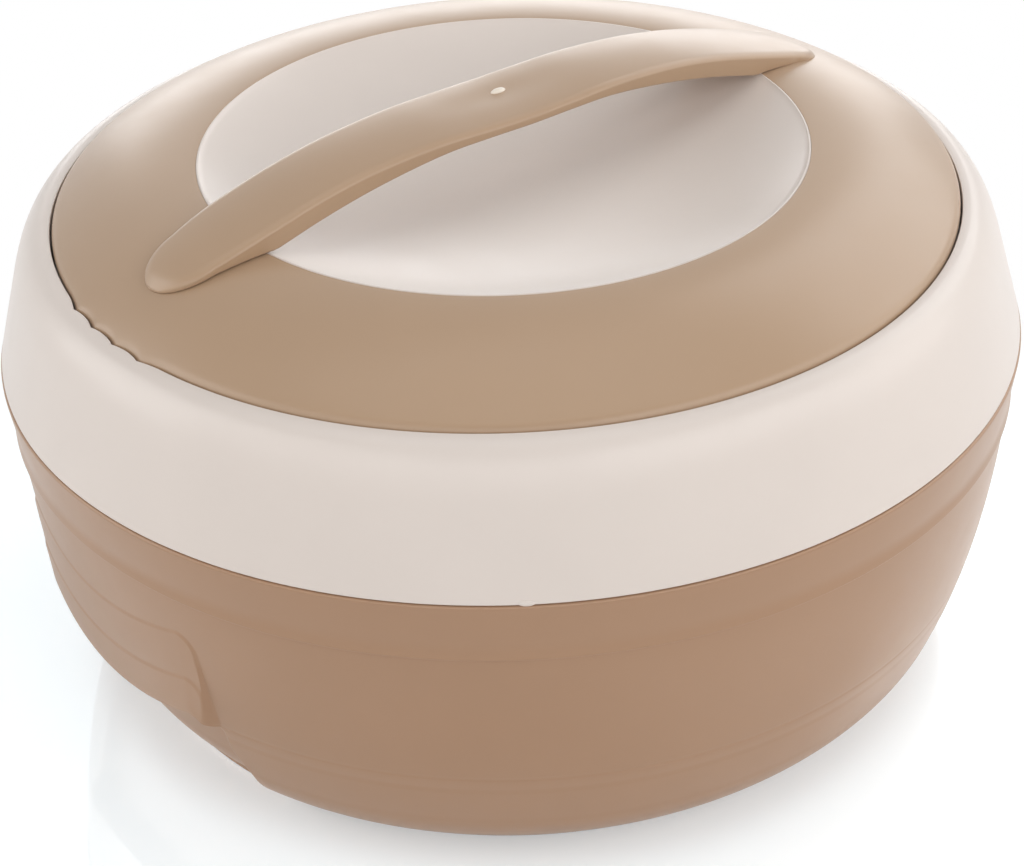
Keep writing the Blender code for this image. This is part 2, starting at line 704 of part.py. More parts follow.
def cover_outline(azimuth):
    """The cover's outline, with the top and the edge drawn out to the scallops."""
    reach = scallop_reach(azimuth)
    dome = dome_path()
    edge_foot = LID_EDGE_HEIGHT - LID_EDGE_DEPTH
    slope = (dome[-2][1] - dome[-1][1]) / (dome[-1][0] - dome[-2][0])
    top_edge = (dome[-1][0] + reach, dome[-1][1] - slope * reach)
    step = SKIRT_INNER_RADIUS - LINER_STEP
    ceiling = clipped(inset(dome[::2], SHELL_WALL), 0, COVER_INNER_RADIUS + SHELL_WALL, step)
    return [
        *dome[:-1],
        top_edge,
        (LID_RADIUS + reach, top_edge[1] - LID_EDGE_ROUND),
        (LID_RADIUS + reach, edge_foot),
        (SKIRT_RADIUS, edge_foot - SKIRT_INSET),
        (SKIRT_RADIUS, SKIRT_FOOT_HEIGHT),
        (SKIRT_INNER_RADIUS, SKIRT_FOOT_HEIGHT),
        (SKIRT_INNER_RADIUS, LINER_TOP_HEIGHT + FIT_GAP),
        (step, LINER_TOP_HEIGHT + FIT_GAP),
        *ceiling[::-1],
        (COVER_INNER_RADIUS + SHELL_WALL, dome[0][1] - INNER_LIP_DEPTH),
        (COVER_INNER_RADIUS, dome[0][1] - INNER_LIP_DEPTH),
    ]


def lid_envelope(name, rise, collection):
    """Everything below the lid cover's top, with the top raised or sunk by a distance."""
    dome = inset(dome_path(), -rise)
    edge = LID_RADIUS + OVERRUN
    slope = (dome[-2][1] - dome[-1][1]) / (dome[-1][0] - dome[-2][0])
    outline = [
        (0, dome[0][1]),
        *dome,
        (edge, dome[-1][1] - slope * (edge - dome[-1][0])),
        (edge, LEDGE_HEIGHT),
        (0, LEDGE_HEIGHT),
    ]
    made = turned(name, outline, ENVELOPE_STEPS, collection)
    made.hide_render = True
    made.display_type = "WIRE"
    return made


def boss_foot_height():
    """The flat under the cover that a screw's head bears on."""
    return dome_height(SCREW_STATION + BOSS_RADIUS) - SHELL_WALL - BOSS_HEIGHT


def screw_ends():
    return (("front", -SCREW_STATION), ("rear", SCREW_STATION))


def make_cover(collection, cutters, finish):
    azimuths = ring_azimuths(scallop_azimuths(), SCALLOP_PLAIN_STEPS)
    cover = add_object(
        "lid_cover", lofted_ring("lid_cover", azimuths, cover_outline), collection, finish
    )
    under_top = lid_envelope("boss_limit", -SHELL_WALL / 2, cutters)
    low = boss_foot_height()
    boss_mesh = cylinder_mesh("screw_boss", BOSS_RADIUS, low, DOME_HEIGHT + OVERRUN)
    hole_mesh = cylinder_mesh(
        "screw_hole", SCREW_RADIUS + FIT_GAP, low - OVERRUN, DOME_HEIGHT + OVERRUN
    )
    for end, station in screw_ends():
        boss = add_cutter(f"screw_boss_{end}", boss_mesh, cutters)
        boss.location.x = station
        boolean(boss, under_top, "INTERSECT")
        boolean(cover, boss, "UNION")
    for end, station in screw_ends():
        hole = add_cutter(f"screw_hole_{end}", hole_mesh, cutters)
        hole.location.x = station
        boolean(cover, hole, "DIFFERENCE")
    return cover


def dish_hollow():
    """The dish's upper face from its rim to its middle."""
    rim = (DISH_RADIUS - DISH_RIM, DISH_RIM_HEIGHT - DISH_RIM / 2)
    bend = (DISH_BEND_RADIUS, DISH_FLOOR_HEIGHT)
    return bezier(rim, bend, (0, DISH_FLOOR_HEIGHT), LONG_CURVE_STEPS)


def dish_back(distance):
    """The dish's under side, from the flange to below its middle."""
    path = inset(dish_hollow(), -distance)
    flange_foot = DISH_FLANGE_HEIGHT - distance
    return clipped(path[:-1], 1, 0, flange_foot) + [(0, DISH_FLOOR_HEIGHT - distance)]


def make_dish(collection, finish):
    flange_radius = DISH_RADIUS + DISH_FLANGE_WIDTH
    outline = [
        *dish_hollow()[::-1],
        (DISH_RADIUS - DISH_RIM / 2, DISH_RIM_HEIGHT),
        (DISH_RADIUS, DISH_RIM_HEIGHT - DISH_RIM / 2),
        (DISH_RADIUS, DISH_FLANGE_HEIGHT),
        (flange_radius, DISH_FLANGE_HEIGHT),
        (flange_radius, DISH_FLANGE_HEIGHT - LINER_WALL),
        *dish_back(LINER_WALL),
    ]
    return turned("lid_dish", outline, INNER_STEPS, collection, finish)


def strap_section(station, half_width, edge, foot, crown, belly):
    """A rounded slab across the strap, from its crown down one side and back up the other."""
    corner = (edge - foot) * STRAP_CORNER_SHARE
    heights = (
        edge + crown,
        edge + crown * STRAP_CROWN_SHARE,
        edge - corner * STRAP_ROUND_SHARE,
        edge - corner,
        foot + corner,
        foot,
        foot - belly,
    )
    right = [
        (station, half_width * share, height)
        for share, height in zip(STRAP_WIDTH_SHARES, heights)
    ]
    left = [(x, -y, z) for x, y, z in reversed(right[1:-1])]
    return right + left


def strap_sections():
    """The strap's sections from its middle to its end. Past the dish they sink into the cover."""
    sections = []
    for along, width, drop, side, crown, belly in STRAP_SHARES:
        station = STRAP_REACH * along
        edge = STRAP_HEIGHT - STRAP_END_DROP * drop
        foot = edge - STRAP_SIDE * side
        if station > STRAP_ROOT:
            foot = min(foot, dome_height(station) - STRAP_SINK)
        half_width = STRAP_HALF_WIDTH * width
        sections.append(
            strap_section(
                station, half_width, edge, foot, STRAP_CROWN * crown, STRAP_BELLY * belly
            )
        )
    return sections


def strap_mesh():
    half = strap_sections()
    whole = [[(-x, y, z) for x, y, z in section] for section in reversed(half[1:])] + half
    bm = bmesh.new()
    loops = [[bm.verts.new(point) for point in section] for section in whole]
    for near, far in zip(loops, loops[1:]):
        for index in range(len(near)):
            after = (index + 1) % len(near)
            bm.faces.new((near[index], near[after], far[after], far[index]))
    bm.faces.new(loops[0])
    bm.faces.new(loops[-1])
    return mesh_of("lid_handle", bm)


def make_handle(collection, cutters, finish):
    handle = add_object("lid_handle", strap_mesh(), collection, finish)
    boolean(handle, lid_envelope("handle_seat", FIT_GAP, cutters), "DIFFERENCE")
    top = dome_height(SCREW_STATION) + SCREW_BITE + FIT_GAP
    pilot_mesh = cylinder_mesh("pilot", SCREW_RADIUS + FIT_GAP / 2, LEDGE_HEIGHT, top)
    for end, station in screw_ends():
        pilot = add_cutter(f"pilot_{end}", pilot_mesh, cutters)
        pilot.location.x = station
        boolean(handle, pilot, "DIFFERENCE")
    return handle


def make_screws(collection, finish):
    """Round-head screws that come up through the cover's bosses into the strap."""
    seat = boss_foot_height() - FIT_GAP
    foot = seat - SCREW_HEAD_HEIGHT
    outline = [
        (0, dome_height(SCREW_STATION) + SCREW_BITE),
        (SCREW_RADIUS, dome_height(SCREW_STATION) + SCREW_BITE - SCREW_RADIUS),
        (SCREW_RADIUS, seat),
        (SCREW_HEAD_RADIUS, seat),
        (SCREW_HEAD_RADIUS, foot + SCREW_HEAD_HEIGHT / 2),
        (SCREW_HEAD_RADIUS - SCREW_HEAD_HEIGHT / 2, foot),
        (SOCKET_RADIUS, foot),
        (0, foot + SOCKET_DEPTH),
    ]
    for end, station in screw_ends():
        screw = turned(f"handle_screw_{end}", outline, SMALL_STEPS, collection, finish)
        screw.location.x = station


def make_liner(collection, finish):
    """The lid's under side: a flange inside the skirt and a shallow plug that enters the mouth."""
    inner = LINER_PLUG_RADIUS - LINER_WALL
    foot_top = LINER_FOOT_HEIGHT + LINER_WALL
    outline = [
        (0, foot_top),
        (inner - LINER_PLUG_ROUND, foot_top),
        (inner, foot_top + LINER_PLUG_ROUND / 2),
        (inner, LINER_TOP_HEIGHT),
        (LINER_RADIUS, LINER_TOP_HEIGHT),
        (LINER_RADIUS, LINER_HEIGHT),
        (LINER_PLUG_RADIUS, LINER_HEIGHT),
        (LINER_PLUG_RADIUS, LINER_FOOT_HEIGHT + LINER_PLUG_ROUND / 2),
        (LINER_PLUG_RADIUS - LINER_PLUG_ROUND, LINER_FOOT_HEIGHT),
        (0, LINER_FOOT_HEIGHT),
    ]
    return turned("lid_liner", outline, INNER_STEPS, collection, finish)


def make_lid_foam(collection, cutters, finish):
    """The lid's filling, cut clear of the screw heads and bosses."""
    wall = LINER_PLUG_RADIUS - LINER_WALL - FOAM_GAP
    rim = SKIRT_INNER_RADIUS - LINER_STEP - FOAM_GAP
    foot = LINER_FOOT_HEIGHT + LINER_WALL + FOAM_GAP
    shelf = LINER_TOP_HEIGHT + FOAM_GAP
    ceiling = inset(dome_path()[::2], SHELL_WALL + FOAM_GAP)
    flange = DISH_RADIUS + DISH_FLANGE_WIDTH + FOAM_GAP
    under_flange = DISH_FLANGE_HEIGHT - LINER_WALL - FOAM_GAP
    outline = [
        *dish_back(LINER_WALL + FOAM_GAP)[::-1],
        (flange, under_flange),
        *clipped(ceiling, 0, flange, rim),
        (rim, shelf),
        (wall, shelf),
        (wall, foot + LINER_PLUG_ROUND / 2),
        (wall - LINER_PLUG_ROUND, foot),
        (0, foot),
    ]
    foam = turned("lid_insulation", outline, INNER_STEPS, collection, finish)
    low = boss_foot_height() - FIT_GAP - SCREW_HEAD_HEIGHT - FOAM_GAP
    pocket_mesh = cylinder_mesh("head_pocket", BOSS_RADIUS + FOAM_GAP, low, DOME_HEIGHT)
    for end, station in screw_ends():
        pocket = add_cutter(f"head_pocket_{end}", pocket_mesh, cutters)
        pocket.location.x = station
        boolean(foam, pocket, "DIFFERENCE")
    return foam


def make_gasket(collection, finish):
    """A flat ring round the plug with one lip that seals on the bowl's flange."""
    inner = LINER_PLUG_RADIUS + FIT_GAP
    body_foot = GASKET_TOP_HEIGHT - GASKET_BODY
    lip = GASKET_RADIUS - GASKET_LIP_INSET
    outline = [
        (inner, GASKET_TOP_HEIGHT),
        (GASKET_RADIUS, GASKET_TOP_HEIGHT),
        (GASKET_RADIUS, body_foot),
        (lip + GASKET_LIP_WIDTH / 2, body_foot),
        (lip, GASKET_FOOT_HEIGHT),
        (lip - GASKET_LIP_WIDTH / 2, body_foot),
        (inner, body_foot),
    ]
    return turned("lid_gasket", outline, INNER_STEPS, collection, finish)


def clear_scene():
    for old in list(bpy.data.objects):
        bpy.data.objects.remove(old, do_unlink=True)


def new_collection(name):
    made = bpy.data.collections.new(name)
    bpy.context.scene.collection.children.link(made)
    return made


def main():
    clear_scene()
    parts = new_collection("insulated_food_container")
    cutters = new_collection("cutters")
    tan = material("tan_plastic", (0.40, 0.29, 0.21), 0.42)
    cream = material("cream_plastic", (0.76, 0.69, 0.62), 0.40)
    steel = material("stainless_steel", (0.56, 0.56, 0.57), 0.25, 1.0)
    foam = material("rigid_foam", (0.80, 0.74, 0.52), 0.90)
    silicone = material("clear_silicone", (0.74, 0.75, 0.74), 0.50)
    zinc = material("zinc_plated_steel", (0.60, 0.60, 0.58), 0.35, 1.0)

    make_base(parts, tan)
    make_collar(parts, cutters, cream)
    make_bowl(parts, steel)
    make_body_foam(parts, foam)
    make_filler_plug(parts, tan)

    lid = bpy.data.objects.new("lid_lift_axis", None)
    parts.objects.link(lid)
    lid.location.z = LEDGE_HEIGHT
    lid_pieces = [
        make_cover(parts, cutters, tan),
        make_dish(parts, cream),
        make_handle(parts, cutters, tan),
        make_liner(parts, cream),
        make_lid_foam(parts, cutters, foam),
        make_gasket(parts, silicone),
    ]
    make_screws(parts, zinc)
    lid_pieces += [parts.objects[f"handle_screw_{end}"] for end, _ in screw_ends()]
    bpy.context.view_layer.update()
    for piece in lid_pieces:
        piece.parent = lid
        piece.matrix_parent_inverse = lid.matrix_world.inverted()


main()
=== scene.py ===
"""Insulated food container: detailed pieces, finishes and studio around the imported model.

Metres, +Z up, the strap handle along X and the foot ring on Z = 0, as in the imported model.
"""

import math

import bmesh
import bpy
from mathutils import Matrix, Vector


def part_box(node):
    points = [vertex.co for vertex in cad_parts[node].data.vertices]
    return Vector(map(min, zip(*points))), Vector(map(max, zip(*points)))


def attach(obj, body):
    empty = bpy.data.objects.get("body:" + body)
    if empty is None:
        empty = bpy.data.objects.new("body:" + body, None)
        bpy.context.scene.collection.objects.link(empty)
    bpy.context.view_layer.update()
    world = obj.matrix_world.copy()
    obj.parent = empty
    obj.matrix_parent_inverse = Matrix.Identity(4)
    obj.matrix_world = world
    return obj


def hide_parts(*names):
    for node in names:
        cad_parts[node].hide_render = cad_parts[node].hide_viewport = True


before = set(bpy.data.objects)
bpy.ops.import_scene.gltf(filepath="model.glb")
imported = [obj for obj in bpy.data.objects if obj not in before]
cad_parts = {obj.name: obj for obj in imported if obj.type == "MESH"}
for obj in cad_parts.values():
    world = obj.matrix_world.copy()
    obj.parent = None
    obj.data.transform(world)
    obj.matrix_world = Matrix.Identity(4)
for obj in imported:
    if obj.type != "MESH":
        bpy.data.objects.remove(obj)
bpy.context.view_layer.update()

bl_info = {
    "name": "Insulated Food Container",
    "version": (1, 0, 0),
    "blender": (4, 5, 0),
    "location": "3D View > Sidebar > Container",
    "description": "Builds a double-walled food container, its finishes and its studio",
    "category": "Add Mesh",
}

MM = 0.001

# How finely the pieces are drawn
CURVE_STEPS = 24
DOME_STEPS = 40
DOME_BACK_STEPS = 8
# The collar's back has one point for this many of its side
COLLAR_BACK_SHARE = 6
DISH_STEPS = 36
BOWL_SIDE_STEPS = 8
BAND_TO_PAD_STEPS = 8
RECESS_STEPS = 14
FOOT_TURN_STEPS = 18
NUB_STEPS = 32
ROUND_STEPS = 5
GRIP_FACE_PITCH = math.radians(1.0)
GRIP_SIDE_PITCH = math.radians(0.17)
GRIP_SIDE_START = math.radians(3.2)
GRIP_ROW_PITCH = 0.34 * MM
GRIP_PLAIN_STEPS = 100
FLUTE_STEPS = 18
SWEEP_STEPS = 12
SCALLOP_PLAIN_STEPS = 120
TURN_STEPS = 256
SMALL_TURN_STEPS = 64
STRAP_STEPS = 60
STRAP_TIP_STEPS = 26
STRAP_TOP_STEPS = 10
SHOULDER_STEPS = 8
WELD = 0.000001
SHARP_ANGLE = math.radians(38)
# The most of a side that one rounding takes
MOST_ROUNDING = 0.45

# Fits between pieces, and walls
FIT_GAP = 0.3 * MM
PLUG_GAP = 1.5 * MM
SHELL_WALL = 2.4 * MM
LINER_WALL = 2.0 * MM
STEEL_WALL = 0.8 * MM

# Roundings of moulded and turned edges
HAIR = 0.1 * MM
KEEN = 0.2 * MM
FINE = 0.3 * MM
CRISP = 0.35 * MM
EASED = 0.4 * MM
FIRM = 0.5 * MM
SOFT = 0.8 * MM
LIP_ROUND = 0.7 * MM
RECESS_ROUND = 2.0 * MM
BAND_ROUND = 2.0 * MM

# Small places on the base and its plug
BAND_WAIST = 0.1 * MM
BAND_FLARE_HEIGHT = 3.4 * MM
PAD_MARGIN = 1.0 * MM
PLAIN_LIP_FALL = 2.0 * MM
LIP_BLEND = 1.0 * MM
RECESS_SPREAD_TOP, RECESS_SPREAD_RUN = 26 * MM, 10 * MM
INNER_CORNER_HEIGHT = 24 * MM
INNER_WALL_HEIGHTS = (38 * MM, 60 * MM)
# The power by which the pad's side slope widens towards the lip
PAD_SIDE_GROWTH = 1.3
# Where the lip's ends drop, as shares of the grip's half angle
LIP_DROP_START, LIP_DROP_RUN = 0.95, 0.2
PLUG_DIMPLE = 2.2 * MM
PLUG_DIMPLE_SLOPE = 0.6 * MM
PLUG_DIMPLE_DEPTH = 0.8 * MM
PLUG_HEAD_ROUND = 0.6 * MM

# Small places on the lid
SKIRT_SHELF = 1.4 * MM
EDGE_DRAFT = 0.1 * MM
LINER_PANEL_INSET = 9 * MM
LINER_PANEL_SLOPE = 1 * MM
LINER_PANEL_DEPTH = 0.6 * MM
# The gate mark's place along and across the strap
GATE_PLACE = (0.3 * MM, 1.7 * MM)
# The share of the gap round the dish that its edge closes
DISH_CLOSING = 0.8
# The most of the strap's side that its shoulder takes, and the least square of its tip's width
SHOULDER_MOST = 0.6
TIP_LEAST = 0.0004
# Shares of the screw's radius at its point, and of its head's radius with their heights
SCREW_TIP = 0.4
SCREW_DOME = ((0.85, 0.5 * MM), (0.6, 0.0))
# Radii of the screw's drive and their depths
SCREW_DRIVE = ((1.4 * MM, 0.0), (0.9 * MM, 1.2 * MM), (0.0, 1.3 * MM))


def linear(hex_colour):
    """An sRGB hex colour as linear RGBA."""
    channels = [int(hex_colour[index : index + 2], 16) / 255 for index in (1, 3, 5)]
    made = [c / 12.92 if c <= 0.04045 else ((c + 0.055) / 1.055) ** 2.4 for c in channels]
    return (*made, 1.0)


def length(name, description, millimetres):
    return bpy.props.FloatProperty(
        name=name,
        description=description,
        default=millimetres * MM,
        min=0.0,
        precision=5,
        subtype="DISTANCE",
        unit="LENGTH",
    )


def turn(name, description, degrees):
    return bpy.props.FloatProperty(
        name=name,
        description=description,
        default=math.radians(degrees),
        subtype="ANGLE",
        unit="ROTATION",
    )


def colour(name, description, hex_colour):
    return bpy.props.FloatVectorProperty(
        name=name,
        description=description,
        default=linear(hex_colour),
        size=4,
        min=0.0,
        max=1.0,
        subtype="COLOR",
    )


class ContainerBodySizes(bpy.types.PropertyGroup):
    """Sizes of the base shell, its side grips, the collar and the food bowl."""

    radius: length("Radius", "Greatest radius, at the collar's lower edge", 135.0)
    joint_height: length("Joint height", "Height of the joint between base and collar", 93.0)
    rim_inset: length("Rim inset", "Base rim inside the greatest radius", 0.02)
    rim_round: length("Rim rounding", "Rounding of the base's rim", 0.9)
    rim_gap: length("Rim gap", "Shadow gap between the base's rim and the collar", 0.25)
    collar_inset: length("Collar inset", "Collar's lower edge inside the base's rim", 0.45)
    band_height: length("Band height", "Height of the plain band under the rim", 16.6)
    band_foot_inset: length("Band foot inset", "Draft of the band", 1.75)
    band_step: length("Band step", "Step from the band in to the wall", 0.5)
    band_flare: length("Band flare", "How far the band's lower edge is turned out", 0.3)
    bulge_inset: length("Bulge inset", "Inset of the wall's bend", 4.6)
    bulge_height: length("Bulge height", "Height of the wall's bend", 42.0)
    turn_inset: length("Turn inset", "Inset of the wall where it turns to the foot", 13.5)
    turn_height: length("Turn height", "Height at which the wall turns to the foot", 18.0)
    corner_inset: length("Corner inset", "Inset of the turn's bend", 16.0)
    corner_height: length("Corner height", "Height of the turn's bend", 9.4)
    foot_inset: length("Foot inset", "Inset of the foot ring", 28.0)
    foot_width: length("Foot width", "Width of the foot ring", 4.0)
    foot_height: length("Foot height", "Height of the floor above the foot ring", 3.0)
    filling_radius: length("Filling hole radius", "Radius of the hole in the floor", 8.0)
    lip_height: length("Grip lip height", "Height of the lip beside the pad's face", 38.6)
    tier_rise: length("Grip tier rise", "Height of the tier line above the lip", 12.4)
    top_rise: length("Grip top rise", "Height of the pad's crease above the tier", 14.5)
    grip_dip: length("Grip dip", "How much lower the pad's lines are in its middle", 5.0)
    lip_drop: length("Lip drop", "How much lower the lip is at the pad's ends", 3.8)
    top_step: length("Grip top step", "Step of the pad at its crease", 0.2)
    tier_proud: length("Grip tier proud", "How far the pad stands out above the tier", 1.1)
    tier_step: length("Grip tier step", "Step at the tier", 0.22)
    lip_proud: length("Grip lip proud", "How far the pad stands out at the lip", 2.9)
    step_width: length("Grip step width", "Width of the steps at the crease and the tier", 0.9)
    side_width: length("Grip side width", "Width of the pad's side slope at the lip", 4.7)
    lip_undercut: length("Grip undercut", "Rise of the lip's under side", 1.2)
    recess: length("Finger recess", "Depth of the recess under the lip", 4.0)
    grip_corner: length("Grip corner", "Rounding of the pad's upper corners", 6.2)
    grip_half: turn("Grip half angle", "Half the width of the dipping lines", 16.0)
    pad_half: turn("Pad half angle", "Half the width of the pad at its crease", 18.3)
    pad_spread: turn("Pad spread", "How much wider the pad is at the lip", 0.6)
    recess_half: turn("Recess half angle", "Half the width of the finger recess", 18.9)
    recess_spread: turn("Recess spread", "How much wider the recess is at its foot", 1.5)
    flare_inset: length("Flare inset", "Inset of the collar's lower bend", 3.7)
    flare_rise: length("Flare rise", "Height of the lower bend above the joint", 12.0)
    shoulder_inset: length("Shoulder inset", "Inset of the collar's shoulder", 6.8)
    shoulder_rise: length("Shoulder rise", "Height of the shoulder above the joint", 23.0)
    brow_inset: length("Brow inset", "Inset of the upper bend", 10.2)
    brow_rise: length("Brow rise", "Height of the upper bend above the joint", 34.4)
    crest_inset: length("Crest inset", "Inset of the crest beside the lip", 15.5)
    crest_rise: length("Crest rise", "Height of the crest above the joint", 34.95)
    collar_rise: length("Collar rise", "Height of the collar above the joint", 35.0)
    pocket_depth: length("Pocket depth", "Depth of the pockets for the scallops", 3.6)
    ledge_drop: length("Ledge drop", "Depth of the well that takes the lid", 9.0)
    tongue_depth: length("Tongue depth", "Depth of the tongue inside the base's rim", 8.5)
    nub_azimuth: turn("Gate mark azimuth", "Place of the gate mark at the collar's edge", -124.5)
    nub_length: length("Gate mark length", "Half length of the gate mark", 2.0)
    nub_width: length("Gate mark width", "Half width of the gate mark", 0.8)
    nub_height: length("Gate mark height", "Twice how far the gate mark stands out", 0.45)
    mouth_inset: length("Mouth inset", "Inset of the bowl's mouth", 30.0)
    flange_width: length("Flange width", "Width of the bowl's flange", 8.0)
    flange_round: length("Flange rounding", "Rounding at the bowl's mouth", 1.6)
    bowl_turn_inset: length("Bowl turn inset", "Draft of the bowl's side", 6.5)
    bowl_turn_height: length("Bowl turn height", "Height where the bowl's side turns in", 46.0)
    bowl_corner: length("Bowl corner", "Width of the bowl's corner", 20.5)
    bowl_floor: length("Bowl floor", "Height of the bowl's floor", 26.0)


class ContainerLidSizes(bpy.types.PropertyGroup):
    """Sizes of the lid cover, its scalloped edge, the dish, the liner and the gasket."""

    inset: length("Lid inset", "Lid's edge inside the body's greatest radius", 17.9)
    gap: length("Lid gap", "Gap between the lid's edge and the collar's lip", 0.5)
    edge_rise: length("Edge rise", "Lid's edge above the collar's lip", 1.3)
    back_lift: length("Back lift", "How much higher the lid's edge sits at its back", 2.0)
    lift_azimuth: turn("Lift azimuth", "Where the lid's edge sits highest", 35.0)
    edge_depth: length("Edge depth", "Depth of the lid's edge", 3.6)
    skirt_inset: length("Skirt inset", "Skirt inside the lid's edge", 0.9)
    skirt_lift: length("Skirt lift", "Skirt's foot above the ledge", 0.6)
    dome_rise: length("Dome rise", "Height of the dome above the lid's edge", 11.4)
    dome_bend_inset: length("Dome bend inset", "Inset of the dome's bend", 19.2)
    dome_bend_drop: length("Dome bend drop", "Drop of the dome's bend", 0.5)
    inner_lip: length("Inner lip depth", "Depth of the cover's inner lip", 4.4)
    inner_round: length("Inner rounding", "Rounding of the cover's inner edge", 0.15)
    edge_round: length("Edge rounding", "Rounding of the cover's outer edge", 1.6)
    scallop_count: bpy.props.IntProperty(
        name="Scallop count",
        description="Flutes of the lid's edge at each end of the handle",
        default=3,
        min=1,
    )
    scallop_pitch: turn("Scallop pitch", "Angle from one cusp to the next", 5.0)
    scallop_sweep: turn("Scallop sweep", "Angle over which the edge runs out", 4.0)
    scallop_reach: length("Scallop reach", "How far the cusps stand out", 1.2)
    scallop_depth: length("Scallop depth", "Depth of the flutes between the cusps", 0.9)
    dish_inset: length("Dish inset", "Dish's edge inside the lid's edge", 38.5)
    dish_proud: length("Dish proud", "Dish's rim above the cover", 0.05)
    dish_rim: length("Dish rim", "Width of the dish's rim", 0.3)
    dish_depth: length("Dish depth", "Depth of the dish", 12.05)
    dish_bend_inset: length("Dish bend inset", "Inset of the dish's bend", 25.0)
    dish_flange: length("Dish flange", "Width of the hidden flange", 7.0)
    liner_rise: length("Liner rise", "Liner's flange above the ledge", 3.7)
    liner_plug: length("Liner plug depth", "Depth of the plug that enters the mouth", 11.0)
    liner_round: length("Liner rounding", "Rounding of the plug's foot", 4.0)
    gasket_body: length("Gasket body", "Thickness of the gasket's ring", 1.4)
    gasket_lip: length("Gasket lip width", "Width of the gasket's sealing lip", 2.6)
    gasket_lip_inset: length("Gasket lip inset", "Lip inside the gasket's edge", 3.4)


class ContainerStrapSizes(bpy.types.PropertyGroup):
    """Sizes of the strap handle and its screws."""

    end_inset: length("End inset", "Strap's ends inside the lid's edge", 12.6)
    rise: length("Rise", "Strap's edge above the dome", 13.3)
    end_drop: length("End drop", "Drop of the strap's edge from middle to end", 17.8)
    half_width: length("Half width", "Half the strap's greatest width", 14.0)
    side: length("Side", "Greatest height of the strap's side", 6.0)
    crown: length("Crown", "Crown of the strap's top", 0.9)
    belly: length("Belly", "Belly of the strap's under side", 1.4)
    shoulder_width: length("Shoulder width", "Width of the rounding beside the strap's top", 2.2)
    shoulder_fall: length("Shoulder fall", "Height of the rounding beside the strap's top", 1.2)
    edge_round: length("Edge rounding", "Rounding of the strap's lower edges", 0.6)
    gate_length: length("Gate mark length", "Half length of the gate mark", 2.2)
    gate_width: length("Gate mark width", "Half width of the gate mark", 1.1)
    gate_height: length("Gate mark height", "Height of the gate mark", 0.8)
    sink_length: length("Sink length", "Half length of the hollow round the gate mark", 15.0)
    sink_width: length("Sink width", "Half width of the hollow", 5.5)
    sink_depth: length("Sink depth", "Depth of the hollow", 0.35)
    screw_radius: length("Screw radius", "Radius of the screws", 1.7)
    screw_head: length("Screw head radius", "Radius of the screws' heads", 3.4)
    head_height: length("Head height", "Height of the screws' heads", 2.2)


class ContainerFinish(bpy.types.PropertyGroup):
    """Colours of the mouldings and fillings."""

    tan: colour("Tan", "Tan plastic of the lid and handle", "#AD9074")
    # The base's tan is redder than the lid's, and darker, partly as painted shade on the
    # side-facing base
    base: colour("Base", "Tan plastic of the base, a redder batch", "#A48063")
    cream: colour("Cream", "Cream plastic of the collar, dish and liner", "#DBD0C8")
    # Painted highlight: the gate mark's plastic is drawn lighter to stand in for the highlight on
    # it
    whitened: colour("Whitened", "Tan plastic where the gate was snapped off", "#EADFD0")
    foam: colour("Foam", "Rigid foam fillings", "#E4D8AE")
    silicone: colour("Silicone", "Milky silicone of the gasket", "#CFCFCB")
    floor: colour("Floor", "Studio floor", "#F4F4F3")


# Shares of the strap from its middle to its end: station, half width, drop, side, crown, belly
STRAP_SHARES = (
    (0.000, 1.000, 0.000, 0.450, 1.00, 1.00),
    (0.120, 0.985, -0.011, 0.470, 1.00, 1.00),
    (0.240, 0.950, -0.023, 0.560, 1.00, 0.90),
    (0.360, 0.915, 0.008, 0.720, 1.00, 0.60),
    (0.480, 0.890, 0.080, 0.860, 1.00, 0.40),
    (0.600, 0.875, 0.208, 0.950, 1.00, 0.20),
    (0.720, 0.860, 0.386, 1.000, 1.00, 0.10),
    (0.810, 0.820, 0.540, 1.000, 1.00, 0.10),
    (0.880, 0.745, 0.676, 1.000, 1.00, 0.10),
    (0.940, 0.620, 0.807, 1.000, 0.90, 0.10),
    (0.975, 0.450, 0.898, 1.000, 0.60, 0.10),
    (1.000, 0.120, 1.000, 1.000, 0.20, 0.10),
)
STRAP_TIP_SHARE = 0.88


# Outlines


def bezier(start, bend, end, steps=CURVE_STEPS):
    """A curve of one bend as points, both ends included."""
    path = []
    for step in range(steps + 1):
        t = step / steps
        path.append(
            tuple(
                (1 - t) ** 2 * a + 2 * t * (1 - t) * b + t * t * c
                for a, b, c in zip(start, bend, end)
            )
        )
    return path


def radius_at(start, bend, end, height):
    """The first coordinate where a curve of one bend reaches a value of its second."""
    a = start[1] - 2 * bend[1] + end[1]
    b = 2 * (bend[1] - start[1])
    c = start[1] - height
    t = 2 * c / (-b + math.copysign(math.sqrt(max(b * b - 4 * a * c, 0)), -b))
    return (1 - t) ** 2 * start[0] + 2 * t * (1 - t) * bend[0] + t * t * end[0]


def rounded(corners, closed=True):
    """Points (radius, height) or corners (radius, height, rounding) as one outline."""
    path = []
    for index, corner in enumerate(corners):
        open_end = not closed and index in (0, len(corners) - 1)
        if len(corner) == 2 or open_end:
            path.append(corner[:2])
            continue
        point = corner[:2]
        ends = []
        for other in (corners[index - 1], corners[(index + 1) % len(corners)]):
            reach = max(math.dist(point, other[:2]), WELD)
            share = min(corner[2] / reach, MOST_ROUNDING)
            ends.append(tuple(a + (b - a) * share for a, b in zip(point, other[:2])))
        path += bezier(ends[0], point, ends[1], ROUND_STEPS)
    return path


def inset(path, distance):
    """A path moved to the right of its direction."""
    moved = []
    for index, point in enumerate(path):
        near, far = path[max(index - 1, 0)], path[min(index + 1, len(path) - 1)]
        reach = math.dist(near, far)
        moved.append(
            (
                point[0] + distance * (far[1] - near[1]) / reach,
                point[1] - distance * (far[0] - near[0]) / reach,
            )
        )
    return moved


def blend(first, second, share):
    return [tuple(a + (b - a) * share for a, b in zip(p, q)) for p, q in zip(first, second)]


